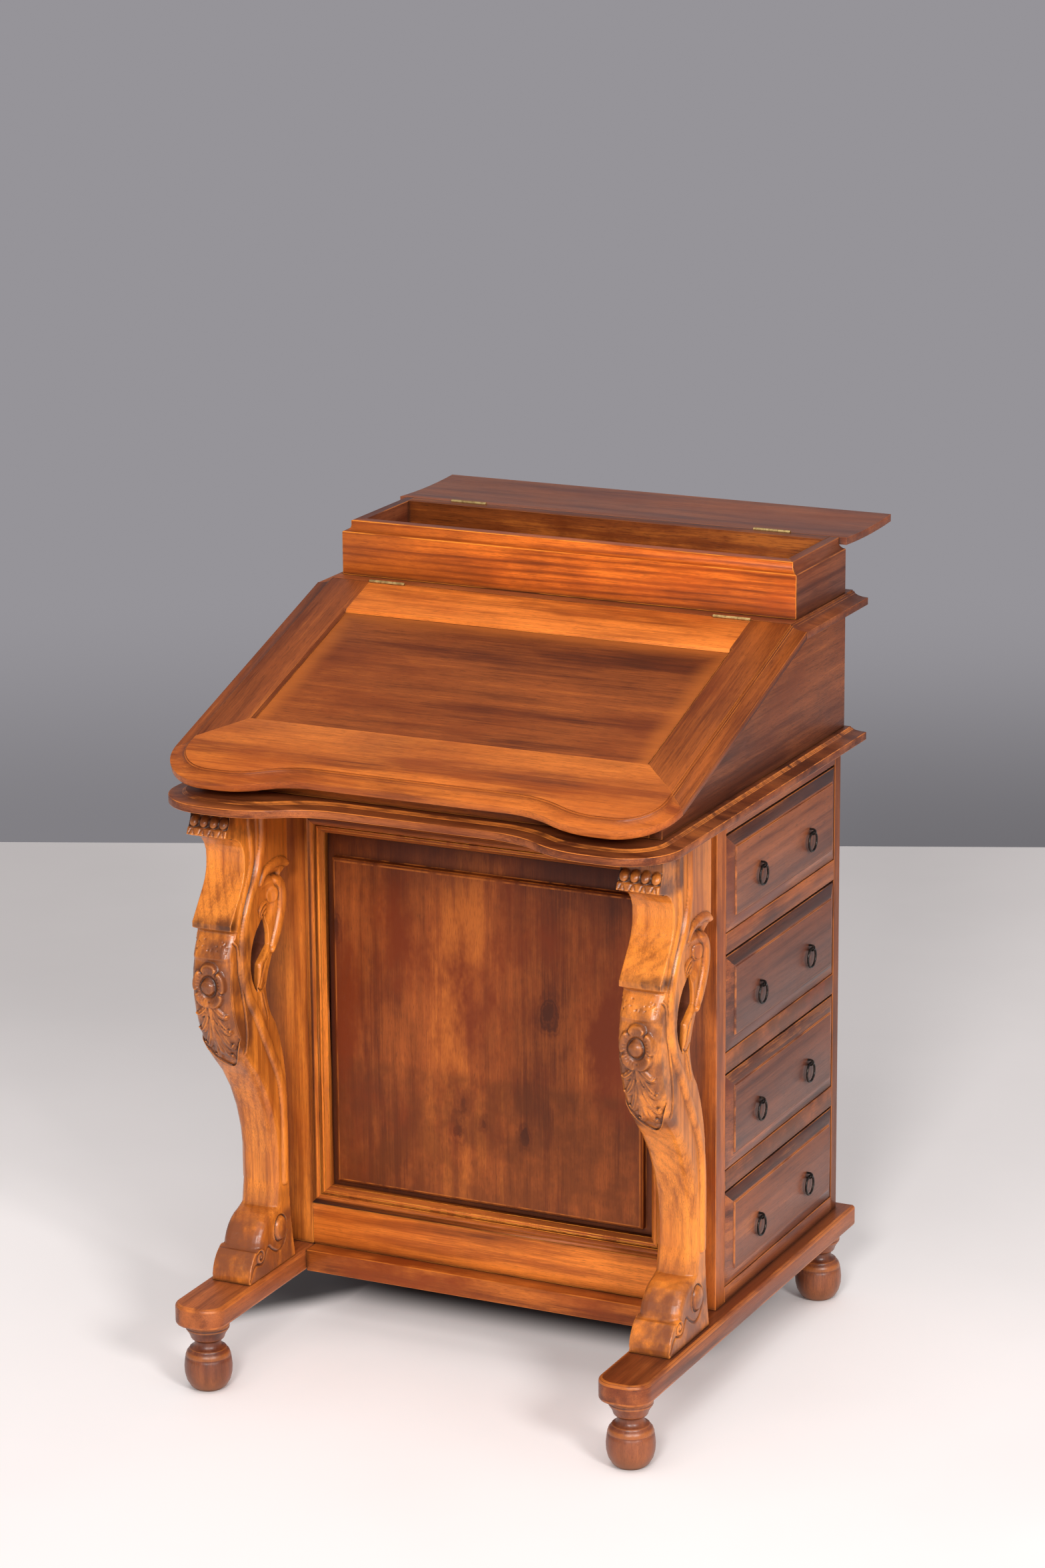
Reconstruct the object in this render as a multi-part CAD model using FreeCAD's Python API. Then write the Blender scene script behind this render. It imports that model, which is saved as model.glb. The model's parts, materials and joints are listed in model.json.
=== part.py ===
import FreeCAD, Part
import math
import os
from FreeCAD import Vector

# A Davenport: a small writing desk with a sloping lid over a well, a pen box along the back of its top,
# four drawers that open to the right, and two carved bracket legs that carry the overhang.
# Millimetres, +X right, +Y back, +Z up. While the desk is laid out, y = 0 is the front face of the
# base's cross rail; when it is finished the desk is moved so that the origin is under its middle.

# --- Feet and base ---
foot_h = 75.5
foot_r = 25.5
foot_neck_r = 14.0
foot_collar_r = 23.5
foot_pad_r = 14.0
foot_sides = 24
foot_front_inset = 33.5
foot_back_inset = 37.0
runner_w = 57.0
runner_t = 24.0
runner_inset = 40.5
runner_nose_y = -202.0
runner_nose_r = 22.0
runner_arris = 2.5
runner_overhang_back = 15.0
base_rail_d = 70.0

# --- Pedestal ---
ped_inset_left = 13.0
ped_inset_right = 29.0
ped_front_y = 21.0
ped_depth = 336.5
ped_h = 537.5
frame_t = 24.0
side_t = 18.0
rear_stile_w = 16.0
front_stile_w = 53.75
front_rail_top_h = 52.0
front_rail_bottom_h = 47.0
front_mould_w = 21.0
front_mould_proud = 4.5
front_mould_drop = 4.5
front_bead_w = 12.0
front_small_bead_w = 6.0
front_small_bead_h = 1.5
front_quirk = 1.0
field_margin_left = 8.0
field_margin_right = 10.0
field_margin_bottom = 7.0
field_margin_top = 26.0
panel_t = 9.0
panel_sink = 12.0
field_rise = 9.0
field_bead_w = 3.0
field_bead_h = 2.0
back_panel_t = 10.0
bottom_board_t = 8.0
side_rail_top_h = 45.0
side_rail_bottom_h = 50.0
side_panel_t = 9.0
side_field_margin = 12.0
side_field_rise = 4.0

# --- Drawers ---
drawer_count = 4
drawer_top_rail_h = 26.8
drawer_base_rail_h = 17.2
drawer_rail_h = 22.5
drawer_rail_d = 40.0
drawer_gap = 0.8
drawer_seat_gap = 0.3
drawer_front_t = 16.0
drawer_field_rise = 4.5
drawer_border = 16.0
drawer_bead = 2.0
drawer_quirk = 1.6
drawer_edge_h = 1.0
drawer_side_t = 10.0
drawer_bottom_t = 6.0
drawer_bottom_up = 6.0
drawer_back_room = 10.0
drawer_runner_w = 14.0
drawer_runner_h = 9.0
ring_spacing = 134.0
ring_above_mid = 0.5
ring_r = 10.7
ring_wire_r = 1.3
ring_sides = 20
ring_wire_sides = 5
ring_standoff = 3.4
staple_wire = 1.8
staple_clear = 0.6

# --- Waist board, slope box, top board and lid ---
board_half = 285.0
waist_t = 13.0
waist_band = 8.5
waist_front_y = -191.5
waist_recess = 36.5
waist_corner_r = 58.0
waist_lobe_flat = 22.0
waist_bend_w = 120.0
mould_w = 17.5
mould_fillet_w = 1.6
mould_fillet_h = 1.3
slope_inset = 24.0
box_t = 14.0
box_front_y = -128.0
box_back_inset = 3.5
desk_h = 150.0
lid_angle = 18.5
joint_y = 186.0
joint_gap = 1.0
lid_t = 14.0
lid_band = 8.0
lid_len = 394.0
lid_recess = 21.5
lid_corner_r = 60.0
lid_lobe_flat = 15.0
lid_bend_w = 100.0
lid_stile_w = 63.0
lid_top_rail_w = 61.0
lid_panel_len = 216.0
lid_bead = 3.0
lid_panel_t = 9.0
lid_seat_gap = 0.3
top_band = 7.5
top_t = 14.5

# --- Pen box and its lid ---
pen_inset = 20.0
pen_front_inset = 19.0
pen_back_inset = 14.5
pen_h = 59.0
pen_front_t = 22.0
pen_back_t = 17.0
pen_end_t = 19.0
pen_cove = 8.0
pen_cove_h = 6.0
pen_fillet_h = 5.5
pen_lid_w = 129.5
pen_lid_t = 8.0
pen_lid_cup = 2.0
pen_lid_seat_gap = 0.4

# --- Butt hinges ---
hinge_len = 42.0
hinge_knuckle_r = 2.0
hinge_pin_r = 0.8
hinge_pin_clear = 0.04
hinge_leaf_t = 1.0
hinge_side_gap = 0.3
hinge_room = 0.35
desk_hinge_inset = 84.0
desk_hinge_leaf_h = 11.0
desk_hinge_rise = 0.3
pen_hinge_inset = 85.0
pen_hinge_leaf_h = 6.5

# --- Bracket legs ---
# A rise is measured up from the runner and a drop down from the waist board. Each point is (y, rise) or
# (y, drop), and a bulge is how far a curve's middle stands off the straight line between its ends.
leg_inset = 42.3
leg_t = 46.0
leg_round = 10.0
leg_boss = 1.5
leg_toe_y = -119.0
leg_toe_rise = (-104.0, 31.5)
leg_toe_bulge = 4.6
leg_instep_rise = (-57.0, 66.5)
leg_instep_r = 41.5
leg_calf_drop = (-112.7, 290.4)
leg_shin_bulge = 25.9
leg_knee_drop = (-151.5, 197.0)
leg_knee_bulge = 9.8
leg_knee_top_drop = (-134.0, 144.0)
leg_knee_top_bulge = 4.4
leg_ledge_drop = (-141.5, 139.0)
leg_ledge_h = 6.0
leg_tongue_foot_drop = (-118.0, 102.0)
leg_tongue_mid_drop = (-108.5, 73.0)
leg_tongue_root_drop = (-135.0, 42.0)
leg_tongue_bulge = 2.6
leg_tongue_root_bulge = 8.6
leg_block_drop = (-148.0, 37.0)
leg_cap_drop = (-139.5, 18.5)
leg_back_y = -16.0
leg_shoulder_drop = 98.0
leg_scroll_top_drop = (-34.0, 106.0)
leg_scroll_end_drop = (-42.0, 172.0)
leg_scroll_bulge = 13.3
leg_neck_drop = (-69.0, 218.0)
leg_neck_bulge = 2.7
leg_waist_drop = (-50.0, 264.0)
leg_waist_bulge = 4.5
leg_shin_drop = (-28.0, 352.0)
leg_shin_back_bulge = 5.1
leg_heel_rise = (-28.0, 95.0)
leg_heel_y = -17.0
leg_heel_bulge = 2.8
leg_slot_top_drop = (-68.0, 141.0)
leg_slot_end_drop = (-86.0, 222.0)
leg_slot_bulge = 23.0
leg_slot_back_y = -61.0
leg_leaf_drop = 175.0
leg_leaf_tip_y = -79.0
leg_medallion_rise = (-51.0, 42.5)
leg_medallion_r = 15.0
leg_toe_scroll_rise = (-95.0, 25.0)
leg_eye_drop = (-48.0, 124.0)
leg_eye_r = 8.0

# --- Levels and places that follow from the sizes above ---
deck_z = foot_h + runner_t
waist_z = deck_z + ped_h
runner_mid_x = board_half - runner_inset
ped_left_x = ped_inset_left - board_half
ped_right_x = board_half - ped_inset_right
leg_mid_x = board_half - leg_inset
slope_half = board_half - slope_inset
pen_half = board_half - pen_inset
desk_hinge_x = board_half - desk_hinge_inset
pen_hinge_x = pen_half - pen_hinge_inset
waist_lobe_x = board_half - waist_corner_r - waist_lobe_flat
lid_lobe_x = board_half - lid_corner_r - lid_lobe_flat
desk_z = waist_z + waist_t
top_z = desk_z + desk_h
rim_z = top_z + pen_h
ped_back_y = ped_front_y + ped_depth
runner_back_y = ped_back_y + runner_overhang_back
cavity_front_y = ped_front_y + frame_t
cavity_back_y = ped_back_y - rear_stile_w
cavity_left_x = ped_left_x + side_t
cavity_right_x = ped_right_x - side_t
box_back_y = ped_back_y - box_back_inset
slope_rad = math.radians(lid_angle)
pen_front_y = joint_y + pen_front_inset
pen_back_y = ped_back_y - pen_back_inset
pen_axis_y = pen_back_y + joint_gap / 2
pen_axis_z = rim_z + pen_lid_seat_gap / 2
pen_lid_back_y = pen_axis_y + joint_gap / 2 + pen_lid_w
desk_axis_z = top_z + desk_hinge_rise
drawer_top_z = waist_z - drawer_top_rail_h
drawer_pitch = (drawer_top_z - deck_z - drawer_base_rail_h + drawer_rail_h) / drawer_count
drawer_open_h = drawer_pitch - drawer_rail_h
middle_y = (runner_nose_y + pen_lid_back_y) / 2

X_AXIS = Vector(1, 0, 0)
Y_AXIS = Vector(0, 1, 0)
Z_AXIS = Vector(0, 0, 1)


# --- Drawing helpers ---
def box(x0, x1, y0, y1, z0, z1):
    return Part.makeBox(x1 - x0, y1 - y0, z1 - z0, Vector(x0, y0, z0))


def polygon(points):
    return Part.makePolygon(points + points[:1])


def prism(points, along):
    return Part.Face(polygon(points)).extrude(along)


def bar_x(outline, x0, x1):
    """A bar along X from a list of (y, z) corners."""
    return prism([Vector(x0, y, z) for y, z in outline], Vector(x1 - x0, 0, 0))


def bar_y(outline, y0, y1):
    """A bar along Y from a list of (x, z) corners."""
    return prism([Vector(x, y0, z) for x, z in outline], Vector(0, y1 - y0, 0))


def bar_z(outline, z0, z1):
    """A bar along Z from a list of (x, y) corners."""
    return prism([Vector(x, y, z0) for x, y in outline], Vector(0, 0, z1 - z0))


def rod_x(y, z, radius, x0, x1, sides=16):
    """A small round bar along X, made many-sided; its corners lie on the radius."""
    turns = [2 * math.pi * (i + 0.5) / sides for i in range(sides)]
    return bar_x([(y + radius * math.cos(a), z + radius * math.sin(a)) for a in turns], x0, x1)


def arc_points(start, middle, end, steps):
    """Points of the arc through three (y, z) points, without its end point."""
    ends = [Vector(0, y, z) for y, z in (start, middle, end)]
    points = Part.Arc(*ends).toShape().discretize(steps + 1)
    return [(point.y, point.z) for point in points[:-1]]


def bow(start, end, bulge, steps):
    """Points of a shallow arc, without its end point. Its middle stands off the straight line by bulge,
    to the left of the way from start to end."""
    run_y = end[0] - start[0]
    run_z = end[1] - start[1]
    share = bulge / math.hypot(run_y, run_z)
    middle = ((start[0] + end[0]) / 2 - share * run_z, (start[1] + end[1]) / 2 + share * run_y)
    return arc_points(start, middle, end, steps)


def turned(profile, sides):
    """A turned solid about Z from (radius, z) points, from its bottom face up to its top face."""
    rings = []
    for radius, z in profile:
        angles = [2 * math.pi * i / sides for i in range(sides)]
        rings.append([Vector(radius * math.cos(a), radius * math.sin(a), z) for a in angles])
    faces = [Part.Face(polygon(rings[0])), Part.Face(polygon(rings[-1]))]
    for lower, upper in zip(rings, rings[1:]):
        for i in range(sides):
            j = (i + 1) % sides
            faces.append(Part.Face(polygon([lower[i], lower[j], upper[j], upper[i]])))
    return Part.Solid(Part.Shell(faces))


def arc(start, middle, end):
    return Part.Arc(start, middle, end).toShape()


def line(start, end):
    return Part.LineSegment(start, end).toShape()


def ruled_solid(wires):
    return Part.makeLoft(wires, True, True)


def frustum_x(near, far, x_near, x_far):
    """A raised field: a block along X between two rectangles (y0, y1, z0, z1)."""
    rings = []
    for (y0, y1, z0, z1), x in ((near, x_near), (far, x_far)):
        corners = [(y0, z0), (y1, z0), (y1, z1), (y0, z1)]
        rings.append(polygon([Vector(x, y, z) for y, z in corners]))
    return ruled_solid(rings)


def frustum_y(near, far, y_near, y_far):
    """A raised field: a block along Y between two rectangles (x0, x1, z0, z1)."""
    rings = []
    for (x0, x1, z0, z1), y in ((near, y_near), (far, y_far)):
        corners = [(x0, z0), (x1, z0), (x1, z1), (x0, z1)]
        rings.append(polygon([Vector(x, y, z) for x, z in corners]))
    return ruled_solid(rings)


def shrink(rect, margin):
    a0, a1, b0, b1 = rect
    return (a0 + margin, a1 - margin, b0 + margin, b1 - margin)


# --- Moulded boards ---
def mould_stations(thickness, band):
    """(inset, height) of a board's moulded edge, from its underside to its top: a square band,
    a hollow, and a small fillet under the flat."""
    hollow_w = mould_w - mould_fillet_w
    hollow_h = thickness - band - mould_fillet_h
    stations = [(0, 0), (0, band)]
    for step in range(1, 5):
        angle = math.pi / 2 * step / 4
        stations.append((hollow_w * math.sin(angle), band + hollow_h * (1 - math.cos(angle))))
    stations.append((mould_w, thickness - mould_fillet_h))
    stations.append((mould_w, thickness))
    return stations


def serpentine(inset, z, back_y, front_y, recess, corner_r, lobe_x, bend_w):
    """Outline of a board with a straight back, rounded front corners and a hollowed front.
    All its curves are tangent arcs, so an inset outline keeps their centres."""
    centre_x = lobe_x - bend_w
    turn = 2 * math.atan2(recess, bend_w)
    bend_r = bend_w / (2 * math.sin(turn))
    side = board_half - inset
    corner_x = board_half - corner_r
    corner_y = front_y + corner_r
    lobe_r = bend_r - inset
    hollow_r = bend_r + inset
    lobe_y = front_y + bend_r
    hollow_y = front_y + recess - bend_r

    def at(x, y):
        return Vector(x, y, z)

    def on_arc(cx, cy, radius, degrees):
        angle = math.radians(degrees)
        return at(cx + radius * math.cos(angle), cy + radius * math.sin(angle))

    turn_deg = math.degrees(turn)
    corner = [on_arc(corner_x, corner_y, corner_r - inset, a) for a in (0, -45, -90)]
    lobe = [on_arc(lobe_x, lobe_y, lobe_r, -90 - a) for a in (0, turn_deg / 2, turn_deg)]
    hollow = [on_arc(centre_x, hollow_y, hollow_r, 90 - a) for a in (turn_deg, turn_deg / 2, 0)]
    right = [line(at(side, back_y), corner[0]), arc(*corner), line(corner[2], lobe[0]), arc(*lobe)]
    right.append(arc(*hollow))
    flip = FreeCAD.Matrix()
    flip.scale(-1, 1, 1)
    left = [edge.transformGeometry(flip) for edge in right]
    front_line = line(at(centre_x, front_y + recess + inset), at(-centre_x, front_y + recess + inset))
    back_line = line(at(-side, back_y), at(side, back_y))
    return Part.Wire(right + [front_line] + left[::-1] + [back_line])


def moulded_board(thickness, band, z, *outline):
    """Stack the outlines of a moulded board from its underside up."""
    layers = mould_stations(thickness, band)
    wires = [serpentine(inset, z + height, *outline) for inset, height in layers]
    board = None
    for lower, upper, (low, high) in zip(wires, wires[1:], zip(layers, layers[1:])):
        if abs(high[1] - low[1]) < 1e-6:
            continue
        slab = ruled_solid([lower, upper])
        board = slab if board is None else board.fuse(slab)
    return board


# --- Base ---
def runner(centre_x):
    half = runner_w / 2
    nose_y = runner_nose_y
    r = runner_nose_r

    def at(x, y):
        return Vector(centre_x + x, y, foot_h)

    bevel = r * (1 - math.sqrt(0.5))
    edges = [line(at(half, runner_back_y), at(half, nose_y + r))]
    edges.append(arc(at(half, nose_y + r), at(half - bevel, nose_y + bevel), at(half - r, nose_y)))
    edges.append(line(at(half - r, nose_y), at(r - half, nose_y)))
    edges.append(arc(at(r - half, nose_y), at(bevel - half, nose_y + bevel), at(-half, nose_y + r)))
    edges.append(line(at(-half, nose_y + r), at(-half, runner_back_y)))
    edges.append(line(at(-half, runner_back_y), at(half, runner_back_y)))
    bar = Part.Face(Part.Wire(edges)).extrude(Vector(0, 0, runner_t))
    nose_edges = [e for e in bar.Edges if e.BoundBox.ZLength < 1e-6 and e.BoundBox.YMax < nose_y + r + 1e-3]
    return bar.makeChamfer(runner_arris, nose_edges)


def base_rail(y0, y1):
    inner = runner_mid_x - runner_w / 2
    return box(-inner, inner, y0, y1, foot_h, deck_z)


def bun_foot(centre_x, centre_y):
    """A turned foot: a bun with a square-cut shoulder, a neck, and a bell-shaped collar."""
    profile = [(foot_pad_r, 0)]
    bun_mid = foot_h * 0.36
    bun_top = foot_h * 0.60
    for angle in range(-60, 46, 21):
        lean = math.radians(angle)
        height = bun_mid if angle < 0 else 1.4 * (bun_top - bun_mid)
        profile.append((foot_r * math.cos(lean) ** 0.7, bun_mid + height * math.sin(lean)))
    profile += [(foot_r * 0.72, bun_top + 1), (foot_neck_r, foot_h * 0.67), (foot_neck_r, foot_h * 0.745)]
    profile += [(foot_collar_r * 0.76, foot_h * 0.755), (foot_collar_r * 0.83, foot_h * 0.83)]
    profile += [(foot_collar_r, foot_h * 0.93), (foot_collar_r, foot_h)]
    foot = turned(profile, foot_sides)
    foot.translate(Vector(centre_x, centre_y, 0))
    return foot


def bun_feet():
    front_y = runner_nose_y + foot_front_inset
    back_y = runner_back_y - foot_back_inset
    return Part.makeCompound([bun_foot(x, y) for y in (front_y, back_y) for x in (-runner_mid_x, runner_mid_x)])


# --- Bracket legs ---
def up(point):
    """A leg's (y, rise) as (y, z)."""
    return (point[0], deck_z + point[1])


def down(point):
    """A leg's (y, drop) as (y, z)."""
    return (point[0], waist_z - point[1])


def leg_front(set_back):
    """The front of a bracket's outline from its toe up to its top. set_back is how far the edges of the
    instep, the shin and the knee are drawn in, which rounds them."""
    line = bow((leg_toe_y, deck_z), up(leg_toe_rise), leg_toe_bulge, 5) + [up(leg_toe_rise)]
    crest_y, crest_z = up(leg_instep_rise)
    reach = leg_instep_r - set_back * 0.8
    for degrees in range(172, 89, -12):
        angle = math.radians(degrees)
        line.append((crest_y + reach * math.cos(angle), crest_z - leg_instep_r + reach * math.sin(angle)))
    shin = bow(up(leg_instep_rise), down(leg_calf_drop), -leg_shin_bulge, 7)
    shin += bow(down(leg_calf_drop), down(leg_knee_drop), leg_knee_bulge, 6)
    shin += bow(down(leg_knee_drop), down(leg_knee_top_drop), leg_knee_top_bulge, 4)
    line += [(y + set_back, z) for y, z in shin + [down(leg_knee_top_drop)]]
    ledge_y, ledge_z = down(leg_ledge_drop)
    line += [(ledge_y, ledge_z), (ledge_y, ledge_z + leg_ledge_h)]
    line += bow(down(leg_tongue_foot_drop), down(leg_tongue_mid_drop), -leg_tongue_bulge, 3)
    line += bow(down(leg_tongue_mid_drop), down(leg_tongue_root_drop), -leg_tongue_root_bulge, 5)
    cap_y, cap_z = down(leg_cap_drop)
    return line + [down(leg_tongue_root_drop), down(leg_block_drop), (cap_y, cap_z), (cap_y, waist_z)]


def leg_back():
    """The back of a bracket's outline from its top down to its heel: a square shoulder, the curl of the
    long scroll, a neck, and the back of the shin."""
    shoulder_z = waist_z - leg_shoulder_drop
    line = [(leg_back_y, waist_z), (leg_back_y, shoulder_z)]
    line += bow(down(leg_scroll_top_drop), down(leg_scroll_end_drop), leg_scroll_bulge, 6)
    line += bow(down(leg_scroll_end_drop), down(leg_neck_drop), -leg_neck_bulge, 3)
    line += bow(down(leg_neck_drop), down(leg_waist_drop), -leg_waist_bulge, 4)
    line += bow(down(leg_waist_drop), down(leg_shin_drop), leg_shin_back_bulge, 4)
    heel = (leg_heel_y, deck_z)
    return line + [down(leg_shin_drop)] + bow(up(leg_heel_rise), heel, -leg_heel_bulge, 4) + [heel]


def leg_slot():
    """The piercing behind the knee: a lens, with a leaf's tip that juts into its back."""
    slot = bow(down(leg_slot_top_drop), down(leg_slot_end_drop), -leg_slot_bulge, 9)
    leaf_z = waist_z - leg_leaf_drop
    slot += bow(down(leg_slot_end_drop), (leg_leaf_tip_y, leaf_z), leg_neck_bulge, 3)
    return slot + bow((leg_slot_back_y, leaf_z), down(leg_slot_top_drop), -leg_neck_bulge, 3)


def leg(centre_x):
    """An S-shaped bracket: toe and instep on the runner, a slim ankle, a swelling knee, a square-edged
    tongue above it, and a block under the overhang. A long scroll is pierced through its back."""
    half = leg_t / 2
    stations = []
    for degrees in (90, 60, 30, 0):
        turn = math.radians(degrees)
        stations.append((half - leg_round * (1 - math.sin(turn)), leg_round * (1 - math.cos(turn))))
    stations += [(-x, set_back) for x, set_back in reversed(stations)]
    body = None
    for (x0, back0), (x1, back1) in zip(stations, stations[1:]):
        near = polygon([Vector(x0, y, z) for y, z in leg_front(back0) + leg_back()])
        far = polygon([Vector(x1, y, z) for y, z in leg_front(back1) + leg_back()])
        slab = ruled_solid([near, far])
        body = slab if body is None else body.fuse(slab)
    body = body.cut(bar_x(leg_slot(), -half, half))
    bosses = ((up(leg_medallion_rise), leg_medallion_r), (up(leg_toe_scroll_rise), leg_eye_r),
              (down(leg_eye_drop), leg_eye_r))
    for (y, z), radius in bosses:
        body = body.fuse(rod_x(y, z, radius, -half - leg_boss, half + leg_boss))
    body = body.removeSplitter()
    body.translate(Vector(centre_x, 0, 0))
    return body


# --- Pedestal ---
opening_x0 = ped_left_x + front_stile_w
opening_x1 = ped_right_x - front_stile_w
opening_z0 = deck_z + front_rail_bottom_h
opening_z1 = waist_z - front_rail_top_h


def front_stile(x0, x1):
    return box(x0, x1, ped_front_y, cavity_front_y, deck_z, waist_z)


def front_rails():
    bottom = box(opening_x0, opening_x1, ped_front_y, cavity_front_y, deck_z, opening_z0)
    top = box(opening_x0, opening_x1, ped_front_y, cavity_front_y, opening_z1, waist_z)
    return Part.makeCompound([bottom, top])


def front_moulding():
    """Four mitred lengths: a broad rounded bead, a quirk, and a small bead down to the panel."""
    face = ped_front_y
    section = [(0, panel_sink)]
    for degrees in (25, 60, 90, 120, 155):
        angle = math.radians(degrees)
        section.append((front_bead_w * (1 - math.cos(angle)) / 2, -front_mould_proud * math.sin(angle)))
    for degrees in (0, 60, 120, 180):
        angle = math.radians(degrees)
        across = front_bead_w + front_small_bead_w * (1 - math.cos(angle)) / 2
        section.append((across, front_quirk - front_small_bead_h * math.sin(angle)))
    section += [(front_mould_w, front_mould_drop), (front_mould_w, panel_sink)]
    x0, x1, z0, z1 = opening_x0, opening_x1, opening_z0, opening_z1
    w = front_mould_w
    lengths = []
    for sign, outer in ((1, z0), (-1, z1)):
        bar = bar_x([(face + y, outer + sign * d) for d, y in section], x0, x1)
        lengths.append((bar, [(x0, outer), (x1, outer), (x1 - w, outer + sign * w), (x0 + w, outer + sign * w)]))
    for sign, outer in ((1, x0), (-1, x1)):
        points = [Vector(outer + sign * d, face + y, z0) for d, y in section]
        bar = prism(points, Vector(0, 0, z1 - z0))
        lengths.append((bar, [(outer, z0), (outer, z1), (outer + sign * w, z1 - w), (outer + sign * w, z0 + w)]))
    mitred = [bar.common(bar_y(mitre, face - 2 * front_mould_proud, face + panel_sink)) for bar, mitre in lengths]
    return Part.makeCompound(mitred)


def front_panel():
    back = ped_front_y + panel_sink
    slab = box(opening_x0, opening_x1, back, back + panel_t, opening_z0, opening_z1)
    w = front_mould_w
    field = (opening_x0 + w + field_margin_left, opening_x1 - w - field_margin_right,
             opening_z0 + w + field_margin_bottom, opening_z1 - w - field_margin_top)
    top_y = back - field_rise
    block = box(*field[:2], top_y + field_bead_h, back, *field[2:])
    raised = frustum_y(field, shrink(field, field_bead_w), top_y + field_bead_h, top_y)
    return slab.fuse(block).fuse(raised).removeSplitter()


def rear_stile(x0, x1):
    return box(x0, x1, cavity_back_y, ped_back_y, deck_z, waist_z)


def side_rails_left():
    x0, x1 = ped_left_x, cavity_left_x
    bottom = box(x0, x1, cavity_front_y, cavity_back_y, deck_z, deck_z + side_rail_bottom_h)
    top = box(x0, x1, cavity_front_y, cavity_back_y, waist_z - side_rail_top_h, waist_z)
    return Part.makeCompound([bottom, top])


def side_panel_left():
    z0 = deck_z + side_rail_bottom_h
    z1 = waist_z - side_rail_top_h
    outer = cavity_left_x - side_panel_t
    slab = box(outer, cavity_left_x, cavity_front_y, cavity_back_y, z0, z1)
    foot = shrink((cavity_front_y, cavity_back_y, z0, z1), side_field_margin)
    field = frustum_x(foot, shrink(foot, side_field_margin), outer, outer - side_field_rise)
    return slab.fuse(field).removeSplitter()


def back_panel():
    return box(cavity_left_x, cavity_right_x, cavity_back_y, cavity_back_y + back_panel_t, deck_z, waist_z)


def pedestal_bottom():
    right = ped_right_x - drawer_rail_d
    return box(cavity_left_x, right, cavity_front_y, cavity_back_y, deck_z, deck_z + bottom_board_t)


# --- Drawers; number 1 is the top one ---
def drawer_floor_z(number):
    return drawer_top_z - (number - 1) * drawer_pitch - drawer_open_h


def drawer_rails():
    """The rails above, between and below the drawer openings."""
    levels = [(drawer_top_z, waist_z)]
    for number in range(1, drawer_count):
        levels.append((drawer_floor_z(number) - drawer_rail_h, drawer_floor_z(number)))
    levels.append((deck_z, drawer_floor_z(drawer_count)))
    x0 = ped_right_x - drawer_rail_d
    return Part.makeCompound([box(x0, ped_right_x, cavity_front_y, cavity_back_y, z0, z1) for z0, z1 in levels])


def drawer_runners():
    """Strips that carry the drawers, along the front frame and along the back panel."""
    strips = []
    right = ped_right_x - drawer_rail_d
    for number in range(1, drawer_count + 1):
        z1 = drawer_floor_z(number)
        z0 = max(z1 - drawer_runner_h, deck_z + bottom_board_t)
        strips.append(box(cavity_left_x, right, cavity_front_y, cavity_front_y + drawer_runner_w, z0, z1))
        strips.append(box(cavity_left_x, right, cavity_back_y - drawer_runner_w, cavity_back_y, z0, z1))
    return Part.makeCompound(strips)


def drawer_extent(number):
    """(y0, y1, z0, z1) of a drawer in its opening."""
    floor = drawer_floor_z(number)
    top = floor + drawer_open_h
    return (cavity_front_y + drawer_gap, cavity_back_y - drawer_gap, floor + drawer_seat_gap, top - drawer_gap)


def drawer_front(number):
    """A solid front with a moulded border and a raised field."""
    extent = drawer_extent(number)
    inner_x = ped_right_x - drawer_front_t
    field = shrink(extent, drawer_border)
    lip = shrink(extent, drawer_border - drawer_bead)
    shoulder = ped_right_x - drawer_edge_h
    front = box(inner_x, shoulder, *extent)
    border = frustum_x(extent, lip, shoulder, ped_right_x + drawer_field_rise - drawer_quirk)
    raised = box(ped_right_x, ped_right_x + drawer_field_rise, *field)
    return front.fuse(border).fuse(raised).removeSplitter()


def drawer_box(number):
    """The two sides, the back and the bottom behind the drawer's front."""
    y0, y1, z0, z1 = drawer_extent(number)
    front_x = ped_right_x - drawer_front_t
    back_x = cavity_left_x + drawer_back_room
    t = drawer_side_t
    floor = z0 + drawer_bottom_up
    near = box(back_x, front_x, y0, y0 + t, z0, z1)
    far = box(back_x, front_x, y1 - t, y1, z0, z1)
    back = box(back_x, back_x + t, y0 + t, y1 - t, floor + drawer_bottom_t, z1)
    bottom = box(back_x, front_x, y0 + t, y1 - t, floor, floor + drawer_bottom_t)
    return Part.makeCompound([near, far, back, bottom])


def ring_axis(number, end):
    """Point on the axis of a ring; end is -1 for the ring near the front and 1 for the other."""
    y0, y1, z0, z1 = drawer_extent(number)
    x = ped_right_x + drawer_field_rise + ring_standoff
    return Vector(x, (y0 + y1) / 2 + end * ring_spacing / 2, (z0 + z1) / 2 + ring_above_mid)


def ring_pull(number, end):
    """A wire ring, hanging from its staple."""
    top = ring_axis(number, end)
    centre = top - Vector(0, 0, ring_r)
    rows = []
    for i in range(ring_sides):
        around = 2 * math.pi * i / ring_sides
        row = []
        for j in range(ring_wire_sides):
            angle = 2 * math.pi * (j + 0.5) / ring_wire_sides
            reach = ring_r + ring_wire_r * math.cos(angle)
            depth = ring_wire_r * math.sin(angle)
            row.append(centre + Vector(depth, reach * math.sin(around), reach * math.cos(around)))
        rows.append(row)
    faces = []
    for i in range(ring_sides):
        here, following = rows[i], rows[(i + 1) % ring_sides]
        for j in range(ring_wire_sides):
            k = (j + 1) % ring_wire_sides
            faces.append(Part.Face(polygon([here[j], following[j], following[k], here[k]])))
    return Part.Solid(Part.Shell(faces))


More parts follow.
